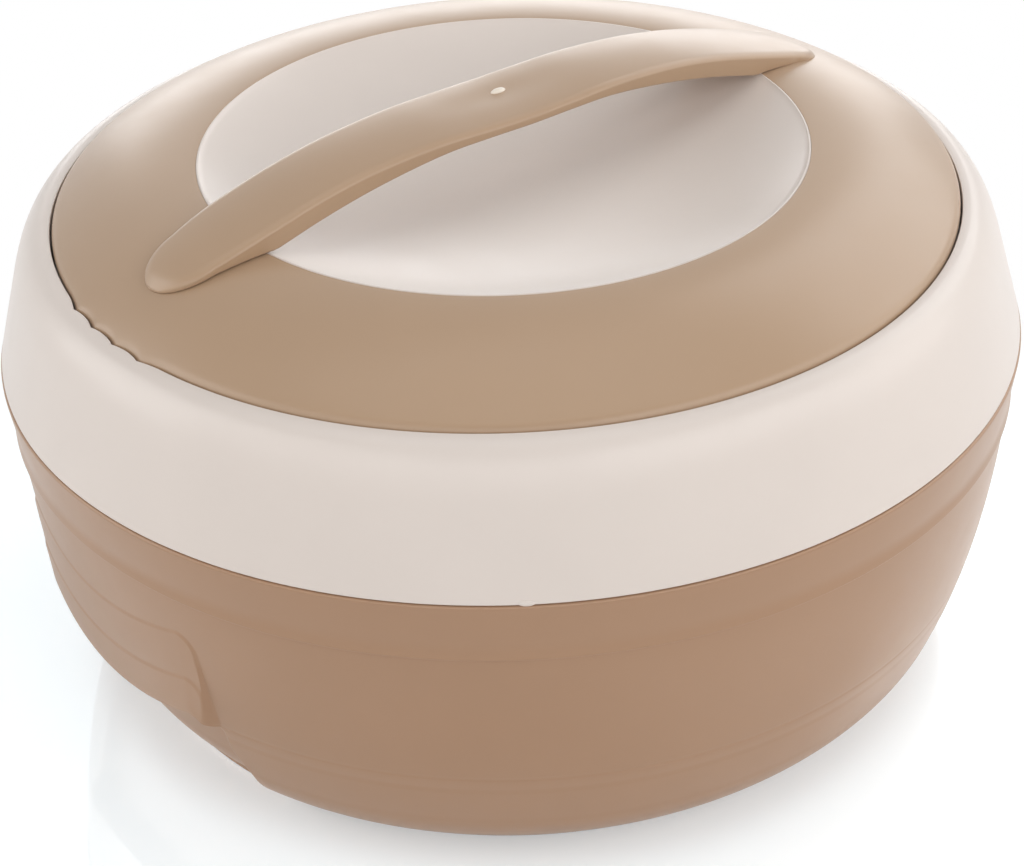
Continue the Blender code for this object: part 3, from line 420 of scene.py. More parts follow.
def ease(share):
    share = min(max(share, 0), 1)
    return share * share * (3 - 2 * share)


def off_axis(azimuth):
    """The angle between an azimuth and the nearer end of the handle's axis."""
    return abs((azimuth + math.pi / 2) % math.pi - math.pi / 2)


def ring_azimuths(marks, plain_steps):
    """Azimuths at the marks beside both ends of the handle's axis, and even between them."""
    half = [-mark for mark in reversed(marks) if mark > 0] + marks
    gap = (math.pi - 2 * marks[-1]) / plain_steps
    half += [marks[-1] + gap * step for step in range(1, plain_steps)]
    return half + [azimuth + math.pi for azimuth in half]


def even_azimuths(count):
    return [math.tau * step / count for step in range(count)]


def smooth_shares(table, along):
    """The table's shares at a station, on a smooth curve through its rows."""
    row = max(index for index, shares in enumerate(table[:-1]) if shares[0] <= along)
    near, far = table[row], table[row + 1]
    before, after = table[max(row - 1, 0)], table[min(row + 2, len(table) - 1)]
    span = far[0] - near[0]
    t = (along - near[0]) / span
    made = []
    for column in range(1, len(near)):
        rise_in = (far[column] - before[column]) / (far[0] - before[0]) * span
        rise_out = (after[column] - near[column]) / (after[0] - near[0]) * span
        if row == 0:
            rise_in = 0
        made.append(
            (2 * t**3 - 3 * t**2 + 1) * near[column]
            + (t**3 - 2 * t**2 + t) * rise_in
            + (3 * t**2 - 2 * t**3) * far[column]
            + (t**3 - t**2) * rise_out
        )
    return made


# Meshes


def mesh_of(name, bm):
    """A closed mesh with faces out, smooth but for its sharp turns."""
    bmesh.ops.remove_doubles(bm, verts=bm.verts, dist=WELD)
    bmesh.ops.dissolve_degenerate(bm, edges=bm.edges, dist=WELD)
    bmesh.ops.recalc_face_normals(bm, faces=bm.faces)
    mesh = bpy.data.meshes.new(name)
    bm.to_mesh(mesh)
    bm.free()
    mesh.shade_smooth()
    mesh.set_sharp_from_angle(angle=SHARP_ANGLE)
    return mesh


def ring_mesh(name, azimuths, outline_at, attributes=None):
    """A ring whose outline may change as it goes round. Attributes are shares, one a point."""
    bm = bmesh.new()
    layers = {key: bm.verts.layers.float.new(key) for key in attributes or {}}
    columns = []
    for azimuth in azimuths:
        across = Matrix.Rotation(azimuth, 3, "Z")
        column = [bm.verts.new(across @ Vector((r, 0, z))) for r, z in outline_at(azimuth)]
        for key, layer in layers.items():
            for vertex, share in zip(column, attributes[key]):
                vertex[layer] = share
        columns.append(column)
    on_axis = outline_at(azimuths[0])[0][0] < WELD
    for near, far in zip(columns, columns[1:] + columns[:1]):
        for index in range(len(near) - on_axis):
            after = (index + 1) % len(near)
            bm.faces.new((near[index], far[index], far[after], near[after]))
    return mesh_of(name, bm)


def turned_mesh(name, corners, steps=TURN_STEPS):
    """A turned solid. An outline that starts on the axis also ends there."""
    outline = rounded(corners, closed=corners[0][0] > WELD)
    return ring_mesh(name, even_azimuths(steps), lambda azimuth: outline)


def nub_mesh(name, half_length, half_width, height, place):
    """A low oval nub, as a gate leaves it, with its lower half inside the piece below."""
    angles = [math.tau * step / NUB_STEPS for step in range(NUB_STEPS // 2 + 1)]
    outline = [(math.sin(angle), math.cos(angle)) for angle in angles]
    mesh = ring_mesh(name, even_azimuths(NUB_STEPS), lambda azimuth: outline)
    mesh.transform(place @ Matrix.Diagonal((half_length, half_width, height, 1)))
    mesh.set_sharp_from_angle(angle=SHARP_ANGLE)
    return mesh


def add_piece(name, mesh, finish, body, slot, *nodes):
    """Links a finished piece, puts it on its body and hides the imported parts that it stands
    for.
    """
    piece = bpy.data.objects.new(name, mesh)
    bpy.context.scene.collection.objects.link(piece)
    mesh.materials.clear()
    mesh.materials.append(finish)
    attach(piece, body)
    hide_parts(*nodes)
    return piece


# Node trees


def add_node(tree, kind, settings=None, *numbered, **named):
    """Adds a node with its settings, and fills its sockets by number or by name.

    A socket takes a value, or a link from another socket or from a node's first output.
    """
    node = tree.nodes.new(kind)
    for name, value in (settings or {}).items():
        setattr(node, name, value)
    filled = dict(enumerate(numbered))
    filled.update({name.replace("_", " "): value for name, value in named.items()})
    for socket, value in filled.items():
        if isinstance(value, bpy.types.Node):
            value = value.outputs[0]
        if isinstance(value, bpy.types.NodeSocket):
            tree.links.new(value, node.inputs[socket])
        else:
            node.inputs[socket].default_value = value
    return node


def new_shape_tree(name, inputs):
    """An empty Geometry Nodes tree with named inputs. Returns it, its inputs and its output."""
    tree = bpy.data.node_groups.new(name, "GeometryNodeTree")
    interface = tree.interface
    interface.new_socket("Geometry", in_out="INPUT", socket_type="NodeSocketGeometry")
    for label, kind in inputs.items():
        interface.new_socket(label, in_out="INPUT", socket_type=kind)
    interface.new_socket("Geometry", in_out="OUTPUT", socket_type="NodeSocketGeometry")
    return tree, tree.nodes.new("NodeGroupInput"), tree.nodes.new("NodeGroupOutput")


def finish_shape_tree(tree, source, geometry, output):
    """Ends a tree in real geometry with its material."""
    real = add_node(tree, "GeometryNodeRealizeInstances", Geometry=geometry)
    coated = add_node(
        tree, "GeometryNodeSetMaterial", Geometry=real, Material=source.outputs["Material"]
    )
    tree.links.new(coated.outputs["Geometry"], output.inputs["Geometry"])
    return tree


def baked(name, mesh, tree, values):
    """The mesh with a Geometry Nodes tree applied, as a plain mesh."""
    carrier = bpy.data.objects.new(name + "_carrier", mesh)
    bpy.context.scene.collection.objects.link(carrier)
    modifier = carrier.modifiers.new("shape", "NODES")
    modifier.node_group = tree
    for item in tree.interface.items_tree:
        if item.item_type == "SOCKET" and item.in_out == "INPUT" and item.name in values:
            modifier[item.identifier] = values[item.name]
    bpy.context.view_layer.update()
    graph = bpy.context.evaluated_depsgraph_get()
    made = bpy.data.meshes.new_from_object(carrier.evaluated_get(graph))
    made.name = name
    for attribute in [a.name for a in made.attributes if a.name.endswith("_share")]:
        made.attributes.remove(made.attributes[attribute])
    bpy.data.objects.remove(carrier, do_unlink=True)
    return made


def scallop_tree():
    """Draws an edge out into cusps and flutes at both ends of the handle's axis.

    Points move outwards by their reach_share, and down the dome's slope by their drop_share.
    """
    inputs = {
        "Count": "NodeSocketInt",
        "Pitch": "NodeSocketFloat",
        "Sweep": "NodeSocketFloat",
        "Reach": "NodeSocketFloat",
        "Depth": "NodeSocketFloat",
        "Slope": "NodeSocketFloat",
        "Material": "NodeSocketMaterial",
    }
    tree, source, output = new_shape_tree("scalloped_edge", inputs)
    position = add_node(tree, "GeometryNodeInputPosition")
    place = add_node(tree, "ShaderNodeSeparateXYZ", Vector=position)
    values = {"x": place.outputs["X"], "y": place.outputs["Y"]}
    values.update({name: source.outputs[name] for name in inputs})
    for key in ("reach_share", "drop_share"):
        values[key] = add_node(
            tree, "GeometryNodeInputNamedAttribute", {"data_type": "FLOAT"}, Name=key
        ).outputs["Attribute"]
    quarter_turn = math.pi / 2
    sums = (
        ("azimuth", "ARCTAN2", "y", "x"),
        ("turned", "ADD", "azimuth", quarter_turn),
        ("folded", "WRAP", "turned", math.pi, 0.0),
        ("from_axis", "SUBTRACT", "folded", quarter_turn),
        ("angle", "ABSOLUTE", "from_axis"),
        ("odd", "MODULO", "Count", 2.0),
        ("odd_start", "MULTIPLY", "odd", 0.5),
        ("pitches", "DIVIDE", "angle", "Pitch"),
        ("flute_turns", "ADD", "pitches", "odd_start"),
        ("flute_part", "FRACT", "flute_turns"),
        ("across", "MULTIPLY_ADD", "flute_part", 2.0, -1.0),
        ("across_squared", "MULTIPLY", "across", "across"),
        ("hollow", "SUBTRACT", 1.0, "across_squared"),
        ("cut", "MULTIPLY", "Depth", "hollow"),
        ("flute", "SUBTRACT", "Reach", "cut"),
        ("span", "MULTIPLY", "Count", "Pitch"),
        ("half", "MULTIPLY", "span", 0.5),
        ("past", "SUBTRACT", "angle", "half"),
        ("run_out", "DIVIDE", "past", "Sweep"),
        ("left", "SUBTRACT", 1.0, "run_out"),
        ("rest", "MAXIMUM", "left", 0.0),
        ("rest_squared", "MULTIPLY", "rest", "rest"),
        ("swept", "MULTIPLY", "Reach", "rest_squared"),
        ("outside", "GREATER_THAN", "past", 0.0),
        ("change", "SUBTRACT", "swept", "flute"),
        ("reach", "MULTIPLY_ADD", "outside", "change", "flute"),
        ("outwards", "MULTIPLY", "reach_share", "reach"),
        ("falling", "MULTIPLY", "drop_share", "reach"),
        ("drop", "MULTIPLY", "falling", "Slope"),
        ("cosine", "COSINE", "azimuth"),
        ("sine", "SINE", "azimuth"),
        ("offset_x", "MULTIPLY", "outwards", "cosine"),
        ("offset_y", "MULTIPLY", "outwards", "sine"),
        ("offset_z", "MULTIPLY", "drop", -1.0),
    )
    for name, operation, *terms in sums:
        terms = [values.get(term, term) for term in terms]
        values[name] = add_node(tree, "ShaderNodeMath", {"operation": operation}, *terms)
    offset = add_node(
        tree,
        "ShaderNodeCombineXYZ",
        X=values["offset_x"],
        Y=values["offset_y"],
        Z=values["offset_z"],
    )
    moved = add_node(
        tree, "GeometryNodeSetPosition", Geometry=source.outputs["Geometry"], Offset=offset
    )
    return finish_shape_tree(tree, source, moved, output)


def repeat_tree():
    """Repeats a piece along X, the first at Start and each next one Step further."""
    inputs = {
        "Count": "NodeSocketInt",
        "Start": "NodeSocketFloat",
        "Step": "NodeSocketFloat",
        "Material": "NodeSocketMaterial",
    }
    tree, source, output = new_shape_tree("row_of_pieces", inputs)
    start = add_node(tree, "ShaderNodeCombineXYZ", X=source.outputs["Start"])
    step = add_node(tree, "ShaderNodeCombineXYZ", X=source.outputs["Step"])
    line = add_node(
        tree,
        "GeometryNodeMeshLine",
        Count=source.outputs["Count"],
        Start_Location=start,
        Offset=step,
    )
    row = add_node(
        tree, "GeometryNodeInstanceOnPoints", Points=line, Instance=source.outputs["Geometry"]
    )
    return finish_shape_tree(tree, source, row, output)


# Finishes

# Sizes and depths of the patterns, in millimetres
MELT_FLOW = 38.0
GLOSS_CLOUD = 11.0
MOULD_WAVE, MOULD_WAVE_DEPTH = 22.0, 0.05
BRUSH_LINE, BRUSH_DEPTH = 0.5, 0.02
# How far round the ring a brushed line shifts, for each radian
BRUSH_RUN = 2.0
ZINC_CRYSTAL = 0.6
FOAM_CELL, FOAM_CELL_DEPTH = 1.2, 0.2
DUST_CLOUD = 4.0
FLOOR_SCUFF = 30.0

# Most of a pattern's values lie between these
PATTERN_LOW, PATTERN_HIGH = 0.3, 0.7
# The grain's sheen pales a plastic where it turns away from the eye
GRAIN_SHEEN = 0.18
# How far a cloud of gloss shifts the roughness
GLOSS_SWING = 0.025
WHITE = (1.0, 1.0, 1.0, 1.0)


def new_finish(name):
    """An empty material. Returns it, its tree, its shader and the Object coordinates."""
    finish = bpy.data.materials.new(name)
    finish.use_nodes = True
    tree = finish.node_tree
    place = tree.nodes.new("ShaderNodeTexCoord").outputs["Object"]
    return finish, tree, tree.nodes["Principled BSDF"], place


def per_metre(millimetres):
    """The scale of a pattern whose grains are this many millimetres across."""
    return 1 / (millimetres * MM)


def tint_by(tree, shader, pattern, base, dark, light):
    """Makes the base colour a little darker and lighter after a pattern."""
    shade = add_node(
        tree,
        "ShaderNodeMapRange",
        Value=pattern,
        From_Min=PATTERN_LOW,
        From_Max=PATTERN_HIGH,
        To_Min=dark,
        To_Max=light,
    )
    toned = add_node(tree, "ShaderNodeHueSaturation", Color=base, Value=shade)
    tree.links.new(toned.outputs["Color"], shader.inputs["Base Color"])


def dull_by(tree, shader, pattern, low, high):
    """Makes the gloss uneven after a pattern, between two roughnesses."""
    roughness = add_node(
        tree,
        "ShaderNodeMapRange",
        Value=pattern,
        From_Min=PATTERN_LOW,
        From_Max=PATTERN_HIGH,
        To_Min=low,
        To_Max=high,
    )
    tree.links.new(roughness.outputs["Result"], shader.inputs["Roughness"])


def raise_by(tree, shader, pattern, strength, depth):
    """Raises the surface after a pattern by some millimetres, on top of what raises it now."""
    bump = add_node(
        tree, "ShaderNodeBump", Strength=strength, Distance=depth * MM, Height=pattern
    )
    for link in shader.inputs["Normal"].links:
        tree.links.new(link.from_socket, bump.inputs["Normal"])
    tree.links.new(bump.outputs["Normal"], shader.inputs["Normal"])


def moulded_plastic(name, base, roughness, grain, grain_depth):
    """Injection-moulded polypropylene.

    A spark-eroded mould leaves a fine matt grain, and the melt's flow a slow waviness, so the
    eye gets a soft, broad sheen that brightens at grazing angles and is never quite even. The
    real grain is about 0.1 mm across, too fine to show, so it is drawn a few times coarser.
    """
    finish, tree, shader, place = new_finish(name)
    flow, cloud, fine, waves = (
        add_node(
            tree,
            "ShaderNodeTexNoise",
            Vector=place,
            Scale=per_metre(size),
            Detail=detail,
            Roughness=rough,
        )
        for size, detail, rough in (
            (MELT_FLOW, 3.0, 0.5),
            (GLOSS_CLOUD, 4.0, 0.6),
            (grain, 2.0, 0.6),
            (MOULD_WAVE, 1.0, 0.5),
        )
    )
    shader.inputs["IOR"].default_value = 1.49
    shader.inputs["Sheen Weight"].default_value = GRAIN_SHEEN
    shader.inputs["Sheen Roughness"].default_value = 0.4
    tint_by(tree, shader, flow, tuple(base), 0.985, 1.015)
    dull_by(tree, shader, cloud, roughness - GLOSS_SWING, roughness + GLOSS_SWING)
    raise_by(tree, shader, waves, 1.0, MOULD_WAVE_DEPTH)
    raise_by(tree, shader, fine, 0.35, grain_depth)
    return finish


def spun_steel(name):
    """Stainless steel, spun and satin brushed: fine rings that draw the highlight into a fan.

    The real rings are about 0.05 mm apart, too fine to show, so they are drawn coarser.
    """
    finish, tree, shader, place = new_finish(name)
    parts = add_node(tree, "ShaderNodeSeparateXYZ", Vector=place)
    x, y, z = (parts.outputs[axis] for axis in "XYZ")
    squares = [
        add_node(tree, "ShaderNodeMath", {"operation": "MULTIPLY"}, side, side)
        for side in (x, y)
    ]
    summed = add_node(tree, "ShaderNodeMath", {"operation": "ADD"}, *squares)
    azimuth = add_node(tree, "ShaderNodeMath", {"operation": "ARCTAN2"}, y, x)
    rings = add_node(
        tree,
        "ShaderNodeCombineXYZ",
        X=add_node(tree, "ShaderNodeMath", {"operation": "SQRT"}, summed),
        Y=z,
        Z=add_node(tree, "ShaderNodeMath", {"operation": "MULTIPLY"}, azimuth, BRUSH_RUN * MM),
    )
    lines = add_node(
        tree,
        "ShaderNodeTexNoise",
        Vector=rings,
        Scale=per_metre(BRUSH_LINE),
        Detail=4.0,
        Roughness=0.7,
    )
    shader.inputs["Base Color"].default_value = linear("#C9C8C6")
    shader.inputs["Metallic"].default_value = 1.0
    dull_by(tree, shader, lines, 0.29, 0.4)
    raise_by(tree, shader, lines, 0.5, BRUSH_DEPTH)
    return finish


def plated_steel(name):
    """Zinc-plated steel: a dull, cloudy, slightly blue metal with small crystals."""
    finish, tree, shader, place = new_finish(name)
    crystals = add_node(
        tree, "ShaderNodeTexVoronoi", Vector=place, Scale=per_metre(ZINC_CRYSTAL)
    )
    shader.inputs["Metallic"].default_value = 1.0
    tint_by(tree, shader, crystals, linear("#B9BCBE"), 0.92, 1.05)
    dull_by(tree, shader, crystals, 0.32, 0.45)
    return finish


def foamed(name, base):
    """Rigid polyurethane foam: matt, pale yellow, with small closed cells."""
    finish, tree, shader, place = new_finish(name)
    cells = add_node(tree, "ShaderNodeTexVoronoi", Vector=place, Scale=per_metre(FOAM_CELL))
    shader.inputs["Roughness"].default_value = 0.9
    tint_by(tree, shader, cells, tuple(base), 0.9, 1.04)
    raise_by(tree, shader, cells, 0.8, FOAM_CELL_DEPTH)
    return finish


def soft_silicone(name, base):
    """Moulded silicone rubber: milky, soft and slightly dusty."""
    finish, tree, shader, place = new_finish(name)
    dust = add_node(
        tree,
        "ShaderNodeTexNoise",
        Vector=place,
        Scale=per_metre(DUST_CLOUD),
        Detail=4.0,
        Roughness=0.6,
    )
    shader.inputs["IOR"].default_value = 1.41
    tint_by(tree, shader, dust, tuple(base), 0.96, 1.02)
    dull_by(tree, shader, dust, 0.42, 0.55)
    return finish


def finish_named(name):
    """The finishes are made once and shared by the pieces."""
    found = bpy.data.materials.get(name)
    if found:
        return found
    colours = bpy.context.scene.container_finish
    makers = {
        "tan_polypropylene": (moulded_plastic, colours.tan, 0.31, 0.5, 0.006),
        # Partly painted shade: the base's tan is drawn darker than the lid's
        "base_polypropylene": (moulded_plastic, colours.base, 0.31, 0.5, 0.006),
        # Painted highlight: the gate mark's lighter plastic stands in for the highlight on it
        "stress_whitened_polypropylene": (moulded_plastic, colours.whitened, 0.31, 0.5, 0.004),
        "cream_polypropylene": (moulded_plastic, colours.cream, 0.33, 0.6, 0.005),
        "spun_stainless_steel": (spun_steel,),
        "zinc_plated_steel": (plated_steel,),
        "rigid_polyurethane_foam": (foamed, colours.foam),
        "milky_silicone": (soft_silicone, colours.silicone),
    }
    maker, *traits = makers[name]
    return maker(name, *traits)


# Shapes of the body


def wall_radius(body, height):
    """The radius of the base's wall between the band and the turn to the foot."""
    band_foot = body.joint_height - FIT_GAP - body.band_height
    start = (body.radius - body.band_foot_inset - body.band_step, band_foot)
    bend = (body.radius - body.bulge_inset, body.bulge_height)
    end = (body.radius - body.turn_inset, body.turn_height)
    return radius_at(start, bend, end, height)


def inside_corner(beside, below, rounding):
    """The distance into an area with a rounded corner, from the distances to its two sides."""
    if beside < rounding and below < rounding:
        return rounding - math.hypot(rounding - beside, rounding - below)
    return min(beside, below)


def pad_proud(body, azimuth, level):
    """How far the grip stands out of the wall, at a height measured from its dipping lines."""
    tier = body.lip_height + body.tier_rise
    top = tier + body.top_rise
    if level >= top:
        return 0.0
    fall = (top - level) / (top - body.lip_height)
    beside = (body.pad_half + body.pad_spread * fall - off_axis(azimuth)) * body.radius
    low = min(max((tier - level) / body.tier_rise, 0), 1)
    growth = body.side_width - body.step_width
    width = body.step_width + growth * low**PAD_SIDE_GROWTH
    upper = min((top - level) / body.top_rise, 1)
    pad = body.top_step + (body.tier_proud - body.top_step) * upper
    pad += (body.lip_proud - body.tier_proud - body.tier_step) * low
    proud = pad * ease(inside_corner(beside, top - level, body.grip_corner) / width)
    if level < tier:
        inward = inside_corner(beside, tier - level, body.grip_corner)
        proud += body.tier_step * ease(inward / width)
    return proud


def recess_share(body, azimuth, height):
    """How much finger recess there is at a place, from 0 to 1."""
    fall = min(max((RECESS_SPREAD_TOP - height) / RECESS_SPREAD_RUN, 0), 1)
    edge = body.recess_half + body.recess_spread * fall
    return ease((edge - off_axis(azimuth)) / body.recess_spread)


def line_drop(body, azimuth):
    """How much lower the grip's lines are at an azimuth, and the lip's further drop."""
    aside = off_axis(azimuth)
    dip = body.grip_dip * max(1 - (aside / body.grip_half) ** 2, 0)
    past = (aside - LIP_DROP_START * body.grip_half) / (LIP_DROP_RUN * body.grip_half)
    return dip, body.lip_drop * ease(past)


def wall_levels(body):
    """Levels down the wall from the band's foot to the lip, close together across the grip."""
    band_foot = body.joint_height - FIT_GAP - body.band_height
    top = body.lip_height + body.tier_rise + body.top_rise
    plain = (band_foot - top - PAD_MARGIN) / BAND_TO_PAD_STEPS
    levels = [band_foot - plain * step for step in range(BAND_TO_PAD_STEPS + 1)]
    foot = body.lip_height + SOFT
    count = round((levels[-1] - foot) / GRIP_ROW_PITCH)
    run = levels[-1] - foot
    return levels + [levels[-1] - run * step / count for step in range(1, count)]


def wall_place(body, azimuth, level):
    """The radius and height of a point of the wall or the grip."""
    band_foot = body.joint_height - FIT_GAP - body.band_height
    tier = body.lip_height + body.tier_rise
    top = tier + body.top_rise
    dip, drop = line_drop(body, azimuth)
    height = level - dip * ease((band_foot - level) / (band_foot - top))
    height -= drop * ease((tier - level) / body.tier_rise)
    return wall_radius(body, height) + pad_proud(body, azimuth, level), height


def lower_wall(body, recess, proud, lip_height):
    """From the lip under and down to the foot ring, with a finger recess of a depth."""
    lip = wall_radius(body, lip_height)
    under = lip_height + (body.lip_undercut if recess else -PLAIN_LIP_FALL)
    turn_in = (body.radius - body.turn_inset, body.turn_height)
    foot = (body.radius - body.foot_inset, FIRM)
    corner = (body.radius - body.corner_inset, body.corner_height)
    upper = wall_radius(body, lip_height) - recess if recess else wall_radius(body, under)
    path = rounded(
        [
            (lip + proud, lip_height + SOFT),
            (lip + proud, lip_height, LIP_ROUND),
            (upper, under, RECESS_ROUND),
            (turn_in[0] - recess, turn_in[1]),
        ],
        closed=False,
    )[1:-1]
    side_end = path[-1]
    straight = []
    for step in range(1, RECESS_STEPS):
        height = side_end[1] + (turn_in[1] - side_end[1]) * step / RECESS_STEPS
        straight.append((wall_radius(body, height) - recess, height))
    turned_in = []
    for radius, height in bezier(turn_in, corner, foot, FOOT_TURN_STEPS):
        climb = (height - foot[1]) / (turn_in[1] - foot[1])
        turned_in.append((radius - recess * math.sqrt(climb * (2 - climb)), height))
    return path + straight + turned_in


def base_outline(body, azimuth):
    rim = body.radius - body.rim_inset
    rim_height = body.joint_height - FIT_GAP
    band_foot = rim_height - body.band_height
    band_radius = body.radius - body.band_foot_inset
    inner = rim - SHELL_WALL
    foot = body.radius - body.foot_inset
    floor = body.foot_height + SHELL_WALL
    start = rounded(
        [
            (inner, body.joint_height - body.rim_gap),
            (rim, body.joint_height - body.rim_gap, body.rim_round),
            (band_radius - BAND_WAIST, band_foot + BAND_FLARE_HEIGHT, BAND_ROUND),
            (band_radius + body.band_flare, band_foot + body.band_step, FINE),
            (band_radius - body.band_step, band_foot + body.band_step / 2, FINE),
            (band_radius - body.band_step, band_foot),
        ],
        closed=False,
    )[:-1]
    upper = [wall_place(body, azimuth, level) for level in wall_levels(body)]
    dip, drop = line_drop(body, azimuth)
    lip_height = body.lip_height - dip - drop
    proud = pad_proud(body, azimuth, body.lip_height + WELD)
    plain = lower_wall(body, 0.0, 0.0, lip_height)
    gripped = lower_wall(body, body.recess, proud, lip_height)
    lip_points = ROUND_STEPS + 1
    mixed = []
    for index, (bare, deep) in enumerate(zip(plain, gripped)):
        share = recess_share(body, azimuth, bare[1])
        if index < lip_points:
            share = max(share, ease(proud / LIP_BLEND))
        mixed += blend([bare], [deep], share)
    under = rounded(
        [
            (foot, 0.0, FIRM),
            (foot - body.foot_width, 0.0, FIRM),
            (foot - body.foot_width - SOFT, body.foot_height, FIRM),
            (body.filling_radius, body.foot_height, FINE),
            (body.filling_radius, floor),
        ],
        closed=False,
    )
    behind_recess = wall_radius(body, INNER_CORNER_HEIGHT) - body.recess - SOFT
    inside = [
        (foot - SOFT, floor),
        (behind_recess - SHELL_WALL, INNER_CORNER_HEIGHT),
        *((wall_radius(body, height) - SHELL_WALL, height) for height in INNER_WALL_HEIGHTS),
        (band_radius - SHELL_WALL, band_foot),
    ]
    return start + upper + mixed + under + inside


def grip_azimuths(body):
    """Azimuths close together over the pad's ends, and further apart elsewhere."""
    fine = body.grip_half - GRIP_SIDE_START
    face_count = round(fine / GRIP_FACE_PITCH)
    marks = [fine * step / face_count for step in range(face_count)]
    end = body.recess_half + body.recess_spread
    count = round((end - fine) / GRIP_SIDE_PITCH)
    marks += [fine + (end - fine) * step / count for step in range(count + 1)]
    return ring_azimuths(marks, GRIP_PLAIN_STEPS)


def scallop_azimuths(lid):
    half = lid.scallop_count * lid.scallop_pitch / 2
    flute_count = lid.scallop_count * FLUTE_STEPS // 2
    flutes = [half * step / flute_count for step in range(flute_count + 1)]
    past = [lid.scallop_sweep * step / SWEEP_STEPS for step in range(1, SWEEP_STEPS + 1)]
    sweep = [half + angle for angle in past]
    return ring_azimuths(flutes + sweep, SCALLOP_PLAIN_STEPS)


def collar_side(body):
    """The collar's outer side from the crest beside the lip down to its lower edge."""
    crest = (body.radius - body.crest_inset, body.joint_height + body.crest_rise)
    brow = (body.radius - body.brow_inset, body.joint_height + body.brow_rise)
    shoulder = (body.radius - body.shoulder_inset, body.joint_height + body.shoulder_rise)
    flare = (body.radius - body.flare_inset, body.joint_height + body.flare_rise)
    edge = (body.radius - body.collar_inset, body.joint_height + CRISP)
    return bezier(crest, brow, shoulder) + bezier(shoulder, flare, edge)[1:]


def scallop_values(lid, slope, material):
    return {
        "Count": lid.scallop_count,
        "Pitch": lid.scallop_pitch,
        "Sweep": lid.scallop_sweep,
        "Reach": lid.scallop_reach,
        "Depth": lid.scallop_depth,
        "Slope": slope,
        "Material": material,
    }


def fluted_ring(name, azimuths, plain, drawn_out, slope, lid, material, lift=0.0):
    """A ring with its scallops, whose outer edge may sit a little higher at the back.

    Drawn_out holds a point's reach and drop shares by its index.
    """
    least, most = min(plain)[0], max(plain)[0]

    def outline_at(azimuth):
        rise = lift * (1 + math.cos(azimuth - lid.lift_azimuth)) / 2
        return [(r, z + rise * (r - least) / (most - least)) for r, z in plain]

    shares = {
        "reach_share": [drawn_out.get(index, (0, 0))[0] for index in range(len(plain))],
        "drop_share": [drawn_out.get(index, (0, 0))[1] for index in range(len(plain))],
    }
    mesh = ring_mesh(name, azimuths, outline_at, shares)
    tree = bpy.data.node_groups.get("scalloped_edge") or scallop_tree()
    return baked(name, mesh, tree, scallop_values(lid, slope, material))


def bowl_side(body):
    """The inside of the bowl from its mouth to its floor's edge."""
    mouth = body.radius - body.mouth_inset
    ledge = body.joint_height + body.collar_rise - body.ledge_drop
    turn_radius = mouth - body.bowl_turn_inset
    fall = ledge - body.bowl_turn_height
    run = body.bowl_turn_inset / fall
    bend = turn_radius - run * (body.bowl_turn_height - body.bowl_floor)
    shares = [step / BOWL_SIDE_STEPS for step in range(1, BOWL_SIDE_STEPS)]
    side = [(mouth - body.bowl_turn_inset * share, ledge - fall * share) for share in shares]
    corner = bezier(
        (turn_radius, body.bowl_turn_height),
        (bend, body.bowl_floor),
        (turn_radius - body.bowl_corner, body.bowl_floor),
    )
    return side + corner


# Shapes of the lid


def dome_curve(body, lid):
    """The start, bend and end of the dome from the dish's edge to the lid's edge."""
    radius = body.radius - lid.inset
    edge = body.joint_height + body.collar_rise + lid.edge_rise
    top = edge + lid.dome_rise
    inner = radius - lid.dish_inset + FIT_GAP
    return (
        (inner, top),
        (radius - lid.dome_bend_inset, top - lid.dome_bend_drop),
        (radius - lid.edge_round, edge),
    )


def dome_height(body, lid, radius):
    """The height of the lid's top at a radius: the dome, or the dish inside it."""
    start, bend, end = dome_curve(body, lid)
    if radius < start[0]:
        return start[1]
    return radius_at(start[::-1], bend[::-1], end[::-1], radius)


def dish_curve(body, lid):
    start, _, _ = dome_curve(body, lid)
    rim = start[0] - FIT_GAP - lid.dish_rim
    floor = start[1] + lid.dish_proud - lid.dish_depth
    return (
        (rim, start[1] + lid.dish_proud - lid.dish_rim / 2),
        (rim + lid.dish_rim - lid.dish_bend_inset, floor),
        (0.0, floor),
    )


